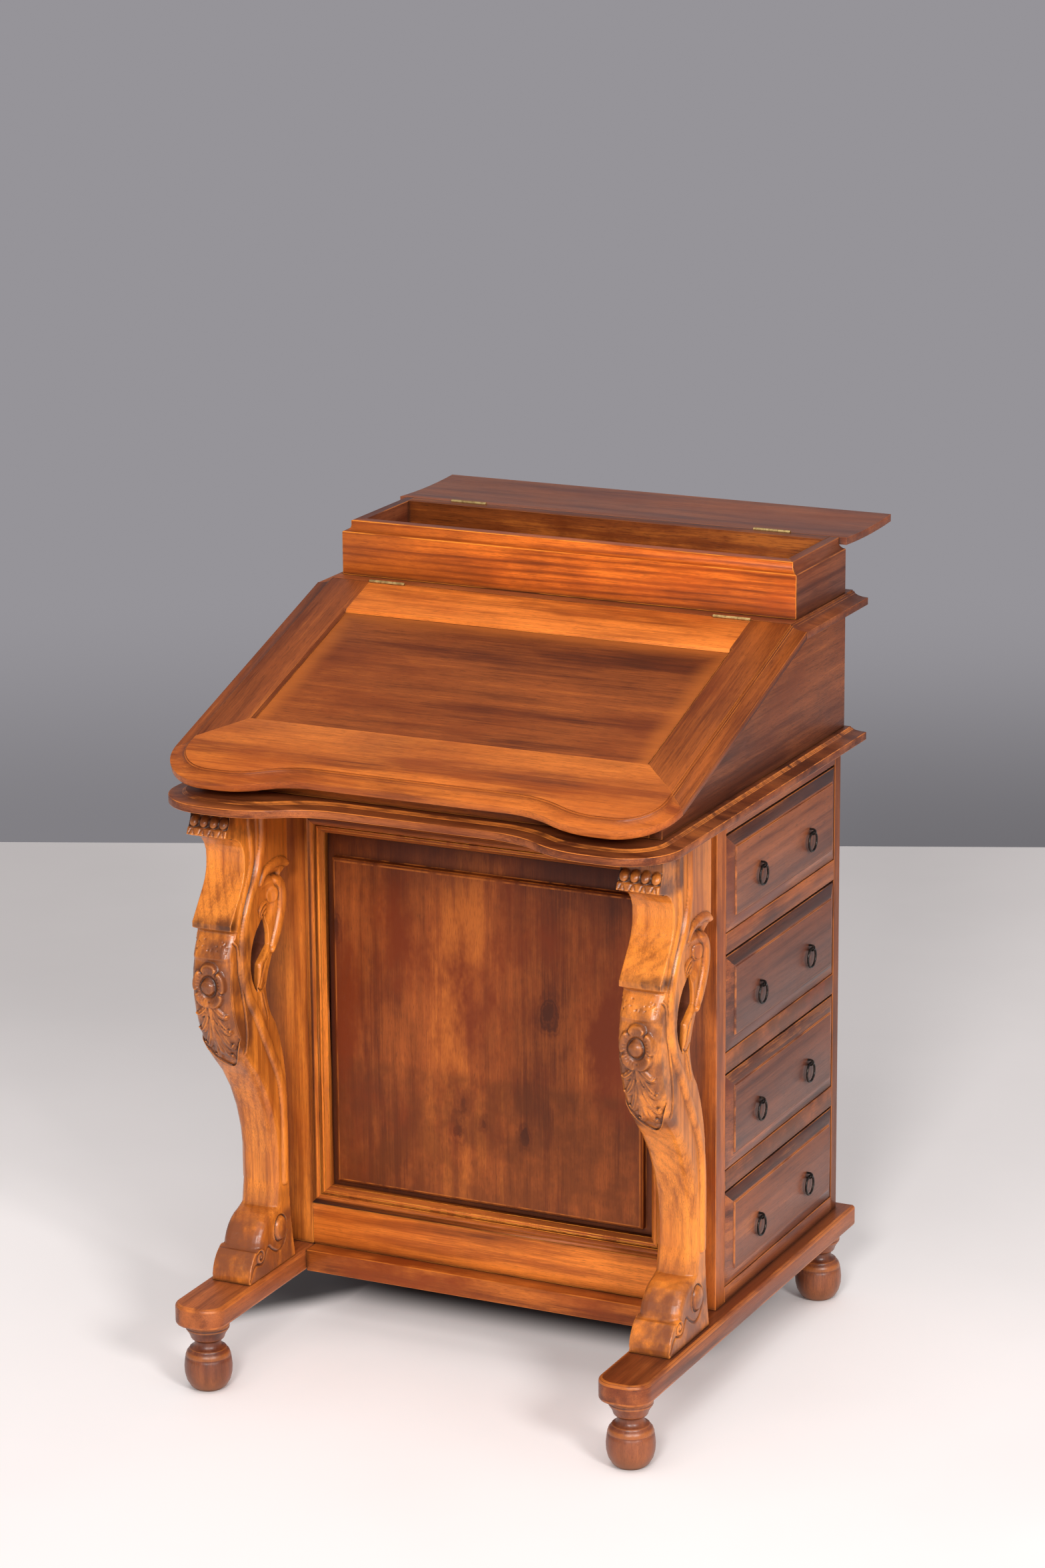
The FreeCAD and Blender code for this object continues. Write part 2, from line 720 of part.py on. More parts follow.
def drawer_staples(number):
    """The two eyes that the rings hang in, each bent from a square bar."""
    hole = ring_wire_r + staple_clear
    face_x = ped_right_x + drawer_field_rise
    staples = []
    for end in (-1, 1):
        axis = ring_axis(number, end)
        outline = []
        for radius, degrees in [(hole + staple_wire, range(90, -91, -30)), (hole, range(-90, 91, 30))]:
            bend = [(axis.x + radius * math.cos(math.radians(a)), axis.z + radius * math.sin(math.radians(a)))
                    for a in degrees]
            outline += [(face_x, bend[0][1])] + bend + [(face_x, bend[-1][1])]
        staples.append(bar_y(outline, axis.y - staple_wire / 2, axis.y + staple_wire / 2))
    return Part.makeCompound(staples)


# --- Butt hinges ---
def hinge_thirds(centre_x):
    """The x ranges of the left, middle and right knuckles."""
    third = hinge_len / 3
    gap = hinge_side_gap / 2
    left = centre_x - hinge_len / 2
    return [(left, left + third - gap), (left + third + gap, left + 2 * third - gap),
            (left + 2 * third + gap, left + hinge_len)]


def fixed_leaf(centre_x, axis_y, axis_z, direction, height):
    """Two knuckles, the pin, and the leaf on the side that direction (+1 back, -1 front) points to."""
    thirds = hinge_thirds(centre_x)
    inner = axis_y + direction * hinge_side_gap / 2
    y0, y1 = sorted((inner, inner + direction * hinge_leaf_t))
    solid = rod_x(axis_y, axis_z, hinge_pin_r, thirds[0][0], thirds[2][1])
    for x0, x1 in (thirds[0], thirds[2]):
        solid = solid.fuse(rod_x(axis_y, axis_z, hinge_knuckle_r, x0, x1))
        solid = solid.fuse(box(x0, x1, y0, y1, axis_z - height, axis_z))
    below = axis_z - hinge_knuckle_r - hinge_room
    solid = solid.fuse(box(thirds[0][0], thirds[2][1], y0, y1, axis_z - height, below))
    return solid.removeSplitter()


def moving_leaf(centre_x, axis_y, axis_z, direction, height):
    """The middle knuckle with its bore, and its leaf."""
    thirds = hinge_thirds(centre_x)
    x0, x1 = thirds[1]
    inner = axis_y + direction * hinge_side_gap / 2
    y0, y1 = sorted((inner, inner + direction * hinge_leaf_t))
    solid = rod_x(axis_y, axis_z, hinge_knuckle_r, x0, x1)
    solid = solid.fuse(box(x0, x1, y0, y1, axis_z - height, axis_z))
    below = axis_z - hinge_knuckle_r - hinge_room
    solid = solid.fuse(box(thirds[0][0], thirds[2][1], y0, y1, axis_z - height, below))
    bore = rod_x(axis_y, axis_z, (hinge_pin_r + hinge_pin_clear) / math.cos(math.pi / 16), x0, x1)
    return solid.cut(bore).removeSplitter()


def hinge_gain(centre_x, axis_y, axis_z, direction, height):
    """The room that a hinge needs in the board on one side of its axis."""
    x0 = centre_x - hinge_len / 2
    x1 = centre_x + hinge_len / 2
    room = hinge_knuckle_r + hinge_room
    knuckles = rod_x(axis_y, axis_z, room, x0 - hinge_room, x1 + hinge_room)
    outer = axis_y + direction * (hinge_side_gap / 2 + hinge_leaf_t)
    y0, y1 = sorted((axis_y, outer))
    return knuckles.fuse(box(x0, x1, y0, y1, axis_z - height, axis_z))


def hinge_set(maker, centre, *place):
    return Part.makeCompound([maker(x, *place) for x in (-centre, centre)])


DESK_HINGE = (joint_y, desk_axis_z)
PEN_HINGE = (pen_axis_y, pen_axis_z)


# --- Waist board and slope box ---
def waist_board():
    outline = (ped_back_y, waist_front_y, waist_recess, waist_corner_r, waist_lobe_x, waist_bend_w)
    return moulded_board(waist_t, waist_band, waist_z, *outline)


def under_lid_z(y):
    """Height of the slope box's sides under the lid."""
    drop = (joint_y - y) * math.tan(slope_rad)
    return top_z - drop - (lid_t + lid_seat_gap) / math.cos(slope_rad)


def slope_side(side):
    outline = [(box_front_y, desk_z), (box_back_y, desk_z), (box_back_y, top_z - top_t),
               (joint_y + joint_gap, top_z - top_t), (joint_y, under_lid_z(joint_y)),
               (box_front_y, under_lid_z(box_front_y))]
    x0, x1 = sorted((side * slope_half, side * (slope_half - box_t)))
    return bar_x(outline, x0, x1)


def slope_box_front():
    inner = slope_half - box_t
    back = box_front_y + box_t
    outline = [(box_front_y, desk_z), (back, desk_z), (back, under_lid_z(back)),
               (box_front_y, under_lid_z(box_front_y))]
    return bar_x(outline, -inner, inner)


def slope_box_back():
    inner = slope_half - box_t
    return box(-inner, inner, box_back_y - box_t, box_back_y, desk_z, top_z - top_t)


def top_board():
    """The fixed part of the top. Its two ends are moulded, its front and back edges are square."""
    stations = mould_stations(top_t, top_band)
    base = top_z - top_t
    right = [(board_half - inset, base + height) for inset, height in stations]
    left = [(-x, z) for x, z in reversed(right)]
    board = bar_y(right + left, joint_y + joint_gap / 2, ped_back_y)
    for x in (-desk_hinge_x, desk_hinge_x):
        board = board.cut(hinge_gain(x, *DESK_HINGE, 1, desk_hinge_leaf_h))
    return board


# --- Writing lid: drawn flat with its top at z = 0 and its hinge edge at y = 0, then tilted ---
def tilt(shape):
    lid = shape.copy()
    lid.rotate(Vector(0, 0, 0), X_AXIS, lid_angle)
    lid.translate(Vector(0, joint_y, top_z))
    return lid


def lid_opening(grow):
    inner = board_half - lid_stile_w + grow
    return (-inner, inner, -lid_top_rail_w - lid_panel_len - grow, -lid_top_rail_w + grow)


def flat_rect(rect, z):
    x0, x1, y0, y1 = rect
    return polygon([Vector(x0, y0, z), Vector(x1, y0, z), Vector(x1, y1, z), Vector(x0, y1, z)])


def lid_frame():
    """The whole frame before it is parted into stiles and rails."""
    outline = (lid_t, -lid_len, lid_recess, lid_corner_r, lid_lobe_x, lid_bend_w)
    board = moulded_board(lid_t, lid_band, -lid_t, *outline)
    through = Part.Face(flat_rect(lid_opening(0), -lid_t)).extrude(Vector(0, 0, lid_t))
    bead = ruled_solid([flat_rect(lid_opening(0), -lid_bead), flat_rect(lid_opening(lid_bead), 0)])
    frame = tilt(board.cut(through).cut(bead))
    behind = box(-board_half, board_half, joint_y - joint_gap / 2, joint_y + 4 * lid_t, desk_z, top_z + lid_t)
    frame = frame.cut(behind)
    for x in (-desk_hinge_x, desk_hinge_x):
        frame = frame.cut(hinge_gain(x, *DESK_HINGE, -1, desk_hinge_leaf_h))
    return frame


def lid_zone(corners):
    """A tilted block over part of the lid, from its (x, y) corners in the flat."""
    return tilt(bar_z(corners, -2 * lid_t, lid_t))


def lid_pieces():
    frame = lid_frame()
    inner = board_half - lid_stile_w
    near = -lid_top_rail_w - lid_panel_len
    reach = lid_stile_w + lid_t
    back = 2 * lid_t
    edge = inner + reach
    right = lid_zone([(inner, back), (inner, near), (edge, near - reach), (edge, back)])
    left = lid_zone([(-inner, back), (-edge, back), (-edge, near - reach), (-inner, near)])
    top = lid_zone([(-inner, back), (-inner, near / 2), (inner, near / 2), (inner, back)])
    front = lid_zone([(-inner, near), (-edge, near - reach), (-edge, -lid_len - reach),
                      (edge, -lid_len - reach), (edge, near - reach), (inner, near)])
    names = ("lid_stile_right", "lid_stile_left", "lid_top_rail", "lid_front_rail")
    pieces = {name: frame.common(zone) for name, zone in zip(names, (right, left, top, front))}
    panel = Part.Face(flat_rect(lid_opening(0), -lid_bead - lid_panel_t)).extrude(Vector(0, 0, lid_panel_t))
    pieces["lid_panel"] = tilt(panel)
    return pieces


# --- Pen box ---
def pen_section(outer, inner, sign):
    """(place, z) outline of a wall with a hollow and a square fillet round its top."""
    cove_z = rim_z - pen_fillet_h - pen_cove_h
    section = [(inner, top_z), (outer, top_z), (outer, cove_z)]
    for step in range(1, 5):
        angle = math.pi / 2 * step / 4
        section.append((outer - sign * pen_cove * math.sin(angle), cove_z + pen_cove_h * (1 - math.cos(angle))))
    section += [(outer - sign * pen_cove, rim_z), (inner, rim_z)]
    return section


def pen_mitre(side):
    """The (x, y) block that an end wall keeps; its front corner is mitred to the front wall."""
    x_in = side * (pen_half - pen_end_t)
    x_out = side * pen_half
    y_in = pen_front_y + pen_front_t
    return [(x_in, y_in), (x_out, pen_front_y), (x_out, pen_back_y), (x_in, pen_back_y)]


def pen_box_end(side):
    outer = side * pen_half
    section = pen_section(outer, side * (pen_half - pen_end_t), side)
    return bar_y(section, pen_front_y, pen_back_y).common(bar_z(pen_mitre(side), top_z, rim_z))


def pen_box_front():
    section = [(y, z) for y, z in pen_section(pen_front_y, pen_front_y + pen_front_t, -1)]
    x_in = pen_half - pen_end_t
    y_in = pen_front_y + pen_front_t
    keep = [(-pen_half, pen_front_y), (pen_half, pen_front_y), (x_in, y_in), (-x_in, y_in)]
    return bar_x(section, -pen_half, pen_half).common(bar_z(keep, top_z, rim_z))


def pen_box_back():
    inner = pen_half - pen_end_t
    wall = box(-inner, inner, pen_back_y - pen_back_t, pen_back_y, top_z, rim_z)
    for x in (-pen_hinge_x, pen_hinge_x):
        wall = wall.cut(hinge_gain(x, *PEN_HINGE, -1, pen_hinge_leaf_h))
    return wall


def pen_lid():
    """A thin board, drawn open: it lies behind the box with its underside up, a little cupped."""
    y0 = pen_axis_y + joint_gap / 2
    y1 = pen_lid_back_y
    middle = (y0 + y1) / 2

    def at(y, z):
        return Vector(-pen_half, y, z)

    low = rim_z - pen_lid_t
    upper = arc(at(y0, rim_z), at(middle, rim_z - pen_lid_cup), at(y1, rim_z))
    lower = arc(at(y1, low), at(middle, low - pen_lid_cup), at(y0, low))
    face = Part.Face(Part.Wire([upper, line(at(y1, rim_z), at(y1, low)), lower, line(at(y0, low), at(y0, rim_z))]))
    board = face.extrude(Vector(2 * pen_half, 0, 0))
    for x in (-pen_hinge_x, pen_hinge_x):
        board = board.cut(hinge_gain(x, *PEN_HINGE, 1, pen_hinge_leaf_h))
    return board


# --- The whole desk ---
def make_nodes():
    nodes = {
        "bun_feet": bun_feet(),
        "base_runner_left": runner(-runner_mid_x),
        "base_runner_right": runner(runner_mid_x),
        "base_front_rail": base_rail(0, base_rail_d),
        "base_back_rail": base_rail(ped_back_y - base_rail_d, ped_back_y),
        "leg_left": leg(-leg_mid_x),
        "leg_right": leg(leg_mid_x),
        "front_stile_left": front_stile(ped_left_x, opening_x0),
        "front_stile_right": front_stile(opening_x1, ped_right_x),
        "front_rails": front_rails(),
        "front_moulding": front_moulding(),
        "front_panel": front_panel(),
        "rear_stile_left": rear_stile(ped_left_x, cavity_left_x),
        "rear_stile_right": rear_stile(cavity_right_x, ped_right_x),
        "side_rails_left": side_rails_left(),
        "side_panel_left": side_panel_left(),
        "back_panel": back_panel(),
        "pedestal_bottom": pedestal_bottom(),
        "drawer_rails": drawer_rails(),
        "drawer_runners": drawer_runners(),
        "waist_board": waist_board(),
        "slope_side_left": slope_side(-1),
        "slope_side_right": slope_side(1),
        "slope_box_front": slope_box_front(),
        "slope_box_back": slope_box_back(),
        "top_board": top_board(),
        "desk_hinge_fixed_leaves": hinge_set(fixed_leaf, desk_hinge_x, *DESK_HINGE, 1, desk_hinge_leaf_h),
        "desk_hinge_lid_leaves": hinge_set(moving_leaf, desk_hinge_x, *DESK_HINGE, -1, desk_hinge_leaf_h),
        "pen_box_front": pen_box_front(),
        "pen_box_back": pen_box_back(),
        "pen_box_ends": Part.makeCompound([pen_box_end(-1), pen_box_end(1)]),
        "pen_lid": pen_lid(),
        "pen_hinge_fixed_leaves": hinge_set(fixed_leaf, pen_hinge_x, *PEN_HINGE, -1, pen_hinge_leaf_h),
        "pen_hinge_lid_leaves": hinge_set(moving_leaf, pen_hinge_x, *PEN_HINGE, 1, pen_hinge_leaf_h),
    }
    nodes.update(lid_pieces())
    for number in range(1, drawer_count + 1):
        nodes["drawer_%d_front" % number] = drawer_front(number)
        nodes["drawer_%d_box" % number] = drawer_box(number)
        nodes["drawer_%d_staples" % number] = drawer_staples(number)
        nodes["drawer_%d_ring_front" % number] = ring_pull(number, -1)
        nodes["drawer_%d_ring_rear" % number] = ring_pull(number, 1)
    for shape in nodes.values():
        shape.translate(Vector(0, -middle_y, 0))
    return nodes


def main():
    os.makedirs("parts", exist_ok=True)
    for name, shape in make_nodes().items():
        shape.exportStep("parts/%s.step" % name)


main()
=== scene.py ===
"""The looks of a Davenport desk: stained and waxed wood, carved bracket legs, turned feet, ring pulls and
brass butt hinges, in a plain studio. Lengths are in metres, but names in _mm and the carving's reliefs are
in millimetres."""

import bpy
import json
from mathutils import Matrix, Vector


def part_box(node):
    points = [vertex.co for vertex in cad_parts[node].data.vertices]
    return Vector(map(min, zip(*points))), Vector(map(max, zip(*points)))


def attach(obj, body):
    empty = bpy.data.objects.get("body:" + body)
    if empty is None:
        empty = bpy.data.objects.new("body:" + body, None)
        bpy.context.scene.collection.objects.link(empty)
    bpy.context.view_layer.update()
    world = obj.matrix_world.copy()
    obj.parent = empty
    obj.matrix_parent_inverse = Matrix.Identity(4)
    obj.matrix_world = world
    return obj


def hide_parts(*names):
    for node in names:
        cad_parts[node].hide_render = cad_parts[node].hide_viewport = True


bl_info = {
    "name": "Davenport desk",
    "version": (1, 0, 0),
    "blender": (4, 5, 0),
    "location": "3D View > Sidebar > Davenport",
    "description": "Finishes the wood, the carving and the metalwork of a small writing desk",
    "category": "Object",
}

import json
import math
import bmesh
import bpy
import numpy as np
from mathutils import Matrix, Vector

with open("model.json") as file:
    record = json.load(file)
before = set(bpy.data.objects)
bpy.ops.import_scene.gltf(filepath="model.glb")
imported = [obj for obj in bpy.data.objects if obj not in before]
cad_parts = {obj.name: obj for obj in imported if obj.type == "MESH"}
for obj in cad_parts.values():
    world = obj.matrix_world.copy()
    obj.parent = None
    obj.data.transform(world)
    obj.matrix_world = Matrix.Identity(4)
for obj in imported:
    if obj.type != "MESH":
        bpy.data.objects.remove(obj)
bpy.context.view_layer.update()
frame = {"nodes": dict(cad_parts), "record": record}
MM = 0.001
BLACK = (0.0, 0.0, 0.0)


# --- Settings that a user would change ---
def colour_property(name, description, default):
    return bpy.props.FloatVectorProperty(
        name=name, description=description, default=default, size=3, subtype="COLOR", min=0.0, max=1.0)


def length_property(name, description, default):
    return bpy.props.FloatProperty(
        name=name, description=description, default=default, min=0.0, unit="LENGTH")


def power_property(name, description, default):
    return bpy.props.FloatProperty(name=name, description=description, default=default, unit="POWER")


class WoodSettings(bpy.types.PropertyGroup):
    golden: colour_property("Golden wood", "Light tone of the legs and the pen box", (0.77, 0.238, 0.028))
    amber: colour_property("Amber wood", "Middle tone of the lid's frame and the case", (0.63, 0.160, 0.022))
    russet: colour_property("Russet wood", "Tone of the panels", (0.29, 0.066, 0.012))
    umber: colour_property("Umber wood", "Tone of the drawers and of the right side", (0.17, 0.048, 0.022))
    # Besides stain, this colour is the painted shade in creases and carved cuts.
    stain: colour_property("Stain", "Colour left in corners and cut lines", (0.034, 0.009, 0.004))
    edge: length_property("Eased edge", "How far the boards' sharp edges are rubbed down", 0.9 * MM)


class CarvingSettings(bpy.types.PropertyGroup):
    depth: bpy.props.FloatProperty(
        name="Depth", description="Depth of the carving as a share of the drawn depth", default=1.0, min=0.0)
    grid: length_property("Grid", "Spacing of the carved surface's points", 1.0 * MM)


class StudioSettings(bpy.types.PropertyGroup):
    floor: colour_property("Floor", "Colour of the floor", (0.85, 0.795, 0.775))
    wall: colour_property("Wall", "Colour seen beyond the floor", (0.305, 0.295, 0.318))
    left: power_property("Left lamp", "Power of the lamp to the left of the camera", 220.0)
    right: power_property("Right lamp", "Power of the lamp to the right of the camera", 189.0)
    top: power_property("Top lamp", "Power of the lamp above the desk", 26.0)
    glow: bpy.props.FloatProperty(
        name="Floor's glow", description="How far the floor is lifted toward white where it is seen",
        default=0.29, min=0.0, max=1.0)
    lens: bpy.props.FloatProperty(
        name="Lens", description="Focal length of the camera", default=107.2, unit="CAMERA")


# --- Shader expressions ---
class Wire:
    """A socket in a node tree. Arithmetic on it adds Math nodes; other nodes come from node()."""

    def __init__(self, tree, socket=None):
        self.tree = tree
        self.socket = socket

    def node(self, kind, settings=None, sockets=None, output=0):
        """Adds a node, sets it up, then fills its sockets with numbers, colours or wires."""
        added = self.tree.nodes.new(kind)
        for key, value in (settings or {}).items():
            if key == "stops":
                ramp = added.color_ramp
                while len(ramp.elements) < len(value):
                    ramp.elements.new(0.5)
                for element, (place, colour) in zip(ramp.elements, value):
                    element.position = place
                    element.color = (*colour, 1.0)
            else:
                setattr(added, key, value)
        for key, value in (sockets or {}).items():
            socket = added.inputs[key]
            if isinstance(value, Wire):
                self.tree.links.new(value.socket, socket)
            elif socket.type == "RGBA" and len(value) == 3:
                socket.default_value = (*value, 1.0)
            else:
                socket.default_value = value
        return Wire(self.tree, added.outputs[output]) if added.outputs else Wire(self.tree)

    def math(self, operation, *terms):
        return self.node("ShaderNodeMath", {"operation": operation}, dict(enumerate(terms)))

    def __add__(self, other):
        return self.math("ADD", self, other)

    def __sub__(self, other):
        return self.math("SUBTRACT", self, other)

    def __rsub__(self, other):
        return self.math("SUBTRACT", other, self)

    def __mul__(self, other):
        return self.math("MULTIPLY", self, other)

    def __pow__(self, other):
        return self.math("POWER", self, other)

    def coordinate(self, kind="Object"):
        """Where a point is in its object's own axes, or another of its coordinates."""
        return self.node("ShaderNodeTexCoord", output=kind)

    def part(self, key):
        """The X, Y or Z of a vector."""
        return self.node("ShaderNodeSeparateXYZ", None, {"Vector": self}, key)

    def turned(self, tilt, kind="POINT"):
        """A vector turned about X."""
        sockets = {"Vector": self, "Rotation": (tilt, 0.0, 0.0)}
        return self.node("ShaderNodeMapping", {"vector_type": kind}, sockets)

    def noise(self, scale, detail):
        """Noise over a place, with so many waves a metre."""
        return self.node("ShaderNodeTexNoise", None, {"Vector": self, "Scale": scale, "Detail": detail})

    def shelter(self, samples, distance):
        """Ambient occlusion: 1 in the open, and less where something stands within the distance."""
        return self.node("ShaderNodeAmbientOcclusion", {"samples": samples}, {"Distance": distance}, "AO")

    def between(self, low, high):
        """0 below low, 1 above high, and a soft step from one to the other."""
        settings = {"interpolation_type": "SMOOTHSTEP"}
        return self.node("ShaderNodeMapRange", settings, {"Value": self, "From Min": low, "From Max": high})

    def mix(self, below, above):
        """The colour below where this wire is 0, and the colour above where it is 1."""
        return self.node("ShaderNodeMix", {"data_type": "RGBA"}, {0: self, 6: below, 7: above}, 2)


def new_material(name):
    material = bpy.data.materials.new(name)
    material.use_nodes = True
    material.node_tree.nodes.clear()
    return material, Wire(material.node_tree)


def surface(graph, sockets):
    """A Principled surface with these sockets, wired to the material's output."""
    shader = graph.node("ShaderNodeBsdfPrincipled", None, sockets)
    graph.node("ShaderNodeOutputMaterial", None, {"Surface": shader})


def bumped(graph, strength, distance, height):
    return graph.node("ShaderNodeBump", None, {"Strength": strength, "Distance": distance, "Height": height})


def scaled(colour, factor):
    return tuple(min(1.0, c * factor) for c in colour)


def tinted(colour, *factors):
    return tuple(c * factor for c, factor in zip(colour, factors))


def blended(first, second, share):
    return tuple(a + (b - a) * share for a, b in zip(first, second))


def brown(share):
    """Umber with a share of amber."""
    settings = bpy.context.scene.davenport_wood
    return blended(settings.umber, settings.amber, share)


class Grain:
    """Where a point lies in its board: along the grain, across the face and through the thickness."""

    def __init__(self, graph, direction, seed, tilt=0.0):
        place = graph.coordinate().turned(tilt)
        self.graph = graph
        self.axes = {key: place.part(key) for key in "XYZ"}
        self.tilt = tilt
        self.seed = seed
        self.along = self.axes[direction]
        self.across, self.through = [self.axes[key] for key in "XYZ" if key != direction]

    def facing(self, key):
        """How squarely the surface faces along an axis of the board."""
        normal = self.graph.coordinate("Normal").turned(self.tilt, "NORMAL")
        return self.graph.math("ABSOLUTE", normal.part(key))

    def noise(self, along, across, detail=3.0, roughness=0.55, shift=0.0):
        """Noise with so many waves a metre along the grain and across it."""
        terms = {"X": self.along * along + (self.seed * 7.31 + shift), "Y": self.across * across + shift,
                 "Z": self.through * across + self.seed * 3.17}
        vector = self.graph.node("ShaderNodeCombineXYZ", None, terms)
        sockets = {"Vector": vector, "Scale": 1.0, "Detail": detail, "Roughness": roughness}
        return self.graph.node("ShaderNodeTexNoise", None, sockets)

    def rings(self, spacing, swirl):
        """Growth rings about a pith that lies beside the board; 1 in the dark late wood."""
        wander = 0.05
        drift = (self.noise(1.4, 6.0, 3.0) - 0.5) * wander
        pith = (0.12 + 0.05 * math.sin(self.seed), -0.09 + 0.04 * math.cos(self.seed * 2.0))
        reach = self.graph.math("SQRT", (self.across - pith[0] + drift) ** 2 + (self.through - pith[1]) ** 2)
        turn = reach * (2 * math.pi / spacing) + self.noise(2.4, 18.0, 2.0) * swirl
        return (self.graph.math("SINE", turn) * 0.5 + 0.5) ** 3

    def edge_gap(self, extent, keys):
        """Distance to the nearest edge of a board that spans extent, over the two axes of its face."""
        low, high = extent
        gaps = []
        for key in keys:
            i = "XYZ".index(key)
            gaps += [self.axes[key] - low[i], high[i] - self.axes[key]]
        nearest = gaps[0]
        for gap in gaps[1:]:
            nearest = self.graph.math("MINIMUM", nearest, gap)
        return nearest


def wood(name, direction, tone, seed, tilt=0.0, contrast=1.0, rings=0.14, spacing=17 * MM, swirl=5.0,
         stripes=1.1, mottle=0.5, gloss=0.34, polish=0.25, corners=0.9, carved=False, worn=0.0, knots=(),
         streak=None, borders=(), stains=(), moulded="", slopes=0.6):
    """Stained wood with its grain along direction, in axes turned by tilt about X; seed picks the pattern.

    contrast, stripes and rings are strengths of the grain, and mottle that of the uneven stain. gloss is
    the roughness and polish the specular level. corners is how far stain and painted shade darken what lies
    deep; carved darkens cuts with stain and painted shade and lightens ridges with wear and a painted
    highlight; worn lightens rubbed edges with wear and a painted highlight. knots are (along, across,
    radius); streak is (across, width, strength); borders are (extent, axes, width, colour, strength) of a
    colour along a board's edges, which the script uses for painted shade and shadow, for wear with a painted
    highlight and for a darker end; stains are (low, high, front, colour, strength) of patches between two
    heights and in front of y = front, and the patch at the top of the legs, under the waist board, is a
    painted shadow. moulded is the axis that a moulded board's flat faces, and slopes how far its
    sloped faces are darkened with painted shade."""
    settings = bpy.context.scene.davenport_wood
    material, graph = new_material(name)
    grain = Grain(graph, direction, seed, tilt)
    broad = grain.noise(1.8, 10.0, 4.0, 0.6)
    bands = grain.noise(3.5, 60.0, 5.0, 0.65, 5.0)
    fibre = grain.noise(14.0, 620.0, 3.0, 0.7, 2.0)
    pores = grain.noise(90.0, 2300.0, 1.0, 0.5, 9.0)
    blotch = grain.noise(9.0, 15.0, 6.0, 0.66, 4.0)
    growth = grain.rings(spacing, swirl)
    figure = (broad - 0.5) * 1.6 + (bands - 0.5) * stripes + (fibre - 0.5) * 0.6 + (0.3 - growth) * rings
    for along, across, reach in knots:
        gap = graph.math("SQRT", ((grain.along - along) * 0.6) ** 2 + (grain.across - across) ** 2)
        gap += (grain.noise(60.0, 90.0, 3.0, 0.6) - 0.5) * 0.016
        ripple = graph.math("SINE", gap * 1300.0 + fibre * 3.0)
        figure -= (1 - gap.between(reach * 0.5, reach * 2.6)) * (ripple * 0.12 + 0.3)
        figure -= (1 - gap.between(0.0, reach)) * 1.1
    figure = (figure + (blotch - 0.5) * mottle) * contrast
    if streak:
        middle, width, strength = streak
        offset = graph.math("ABSOLUTE", grain.across - middle + (grain.noise(4.0, 12.0, 4.0) - 0.5) * 0.09)
        figure += (1 - offset.between(0.0, width)) * strength
    # The darkest tone, for the grain's dark streaks and for painted shade in hollows, on moulded slopes and
    # along some edges.
    dark_grain_and_shade = blended(tinted(tone, 0.42, 0.33, 0.36), settings.stain, 0.5)
    darker = blended(tinted(tone, 0.62, 0.54, 0.56), settings.stain, 0.1)
    ramp = [(0.04, dark_grain_and_shade), (0.30, darker), (0.52, tone),
            (0.74, scaled(tone, 1.3)), (0.97, blended(scaled(tone, 1.6), settings.golden, 0.22))]
    colour = graph.node("ShaderNodeValToRGB", {"stops": ramp}, {"Fac": figure + 0.5})
    colour = (pores.between(0.58, 0.68) * 0.6).mix(colour, scaled(tone, 0.3))
    patches = grain.noise(4.0, 8.0, 6.0, 0.66, 6.0).between(0.45, 0.66) * mottle
    colour = patches.mix(colour, tinted(tone, 0.66, 0.46, 0.42))
    # Bands along a board's edges: painted shade and shadow on some boards, wear with a painted highlight on
    # others, and a darker end on the pen box.
    for extent, keys, width, patch, strength in borders:
        gap = grain.edge_gap(extent, keys) + (blotch - 0.5) * width
        colour = ((1 - gap.between(0.0, width)) * strength).mix(colour, patch or dark_grain_and_shade)
    for low, high, front, patch, strength in stains:
        rise = grain.axes["Z"]
        mask = rise.between(low, low + 12 * MM) * (1 - rise.between(high, high + 12 * MM))
        mask *= 1 - grain.axes["Y"].between(front, front + 10 * MM)
        mask = mask * grain.noise(26.0, 34.0, 4.0, 0.6, 3.0).between(0.30, 0.62) * strength
        colour = mask.mix(colour, patch)
    # Painted shade: ambient occlusion darkens hollows, corners and the wood between parts, broadly toward
    # the darkest tone and in creases toward the stain colour. Part of it stands for real stain and grime.
    broad_stain_and_shade = (1 - (graph.shelter(4, 34 * MM) + (blotch - 0.5) * 0.4).between(0.30, 0.92)) * (corners * 0.75)
    crease_grime_and_shade = (1 - graph.shelter(6, 6 * MM).between(0.35, 0.90)) * corners
    colour = crease_grime_and_shade.mix(broad_stain_and_shade.mix(colour, dark_grain_and_shade), settings.stain)
    if carved:
        # Pointiness darkens the carved cuts with stain and painted shade, and lightens the ridges with wear
        # and a painted highlight.
        point = graph.node("ShaderNodeNewGeometry", output="Pointiness")
        colour = ((1 - point.between(0.43, 0.492)) * 0.8).mix(colour, settings.stain)
        colour = (point.between(0.51, 0.57) * 0.5).mix(colour, scaled(settings.golden, 1.25))
    # Painted shade: the sloped faces of a moulded board are darkened toward the darkest tone.
    if moulded and not worn:
        facing = grain.facing(moulded)
        slope = (1 - facing.between(0.86, 0.985)) * facing.between(0.12, 0.35)
        colour = (slope * slopes).mix(colour, dark_grain_and_shade)
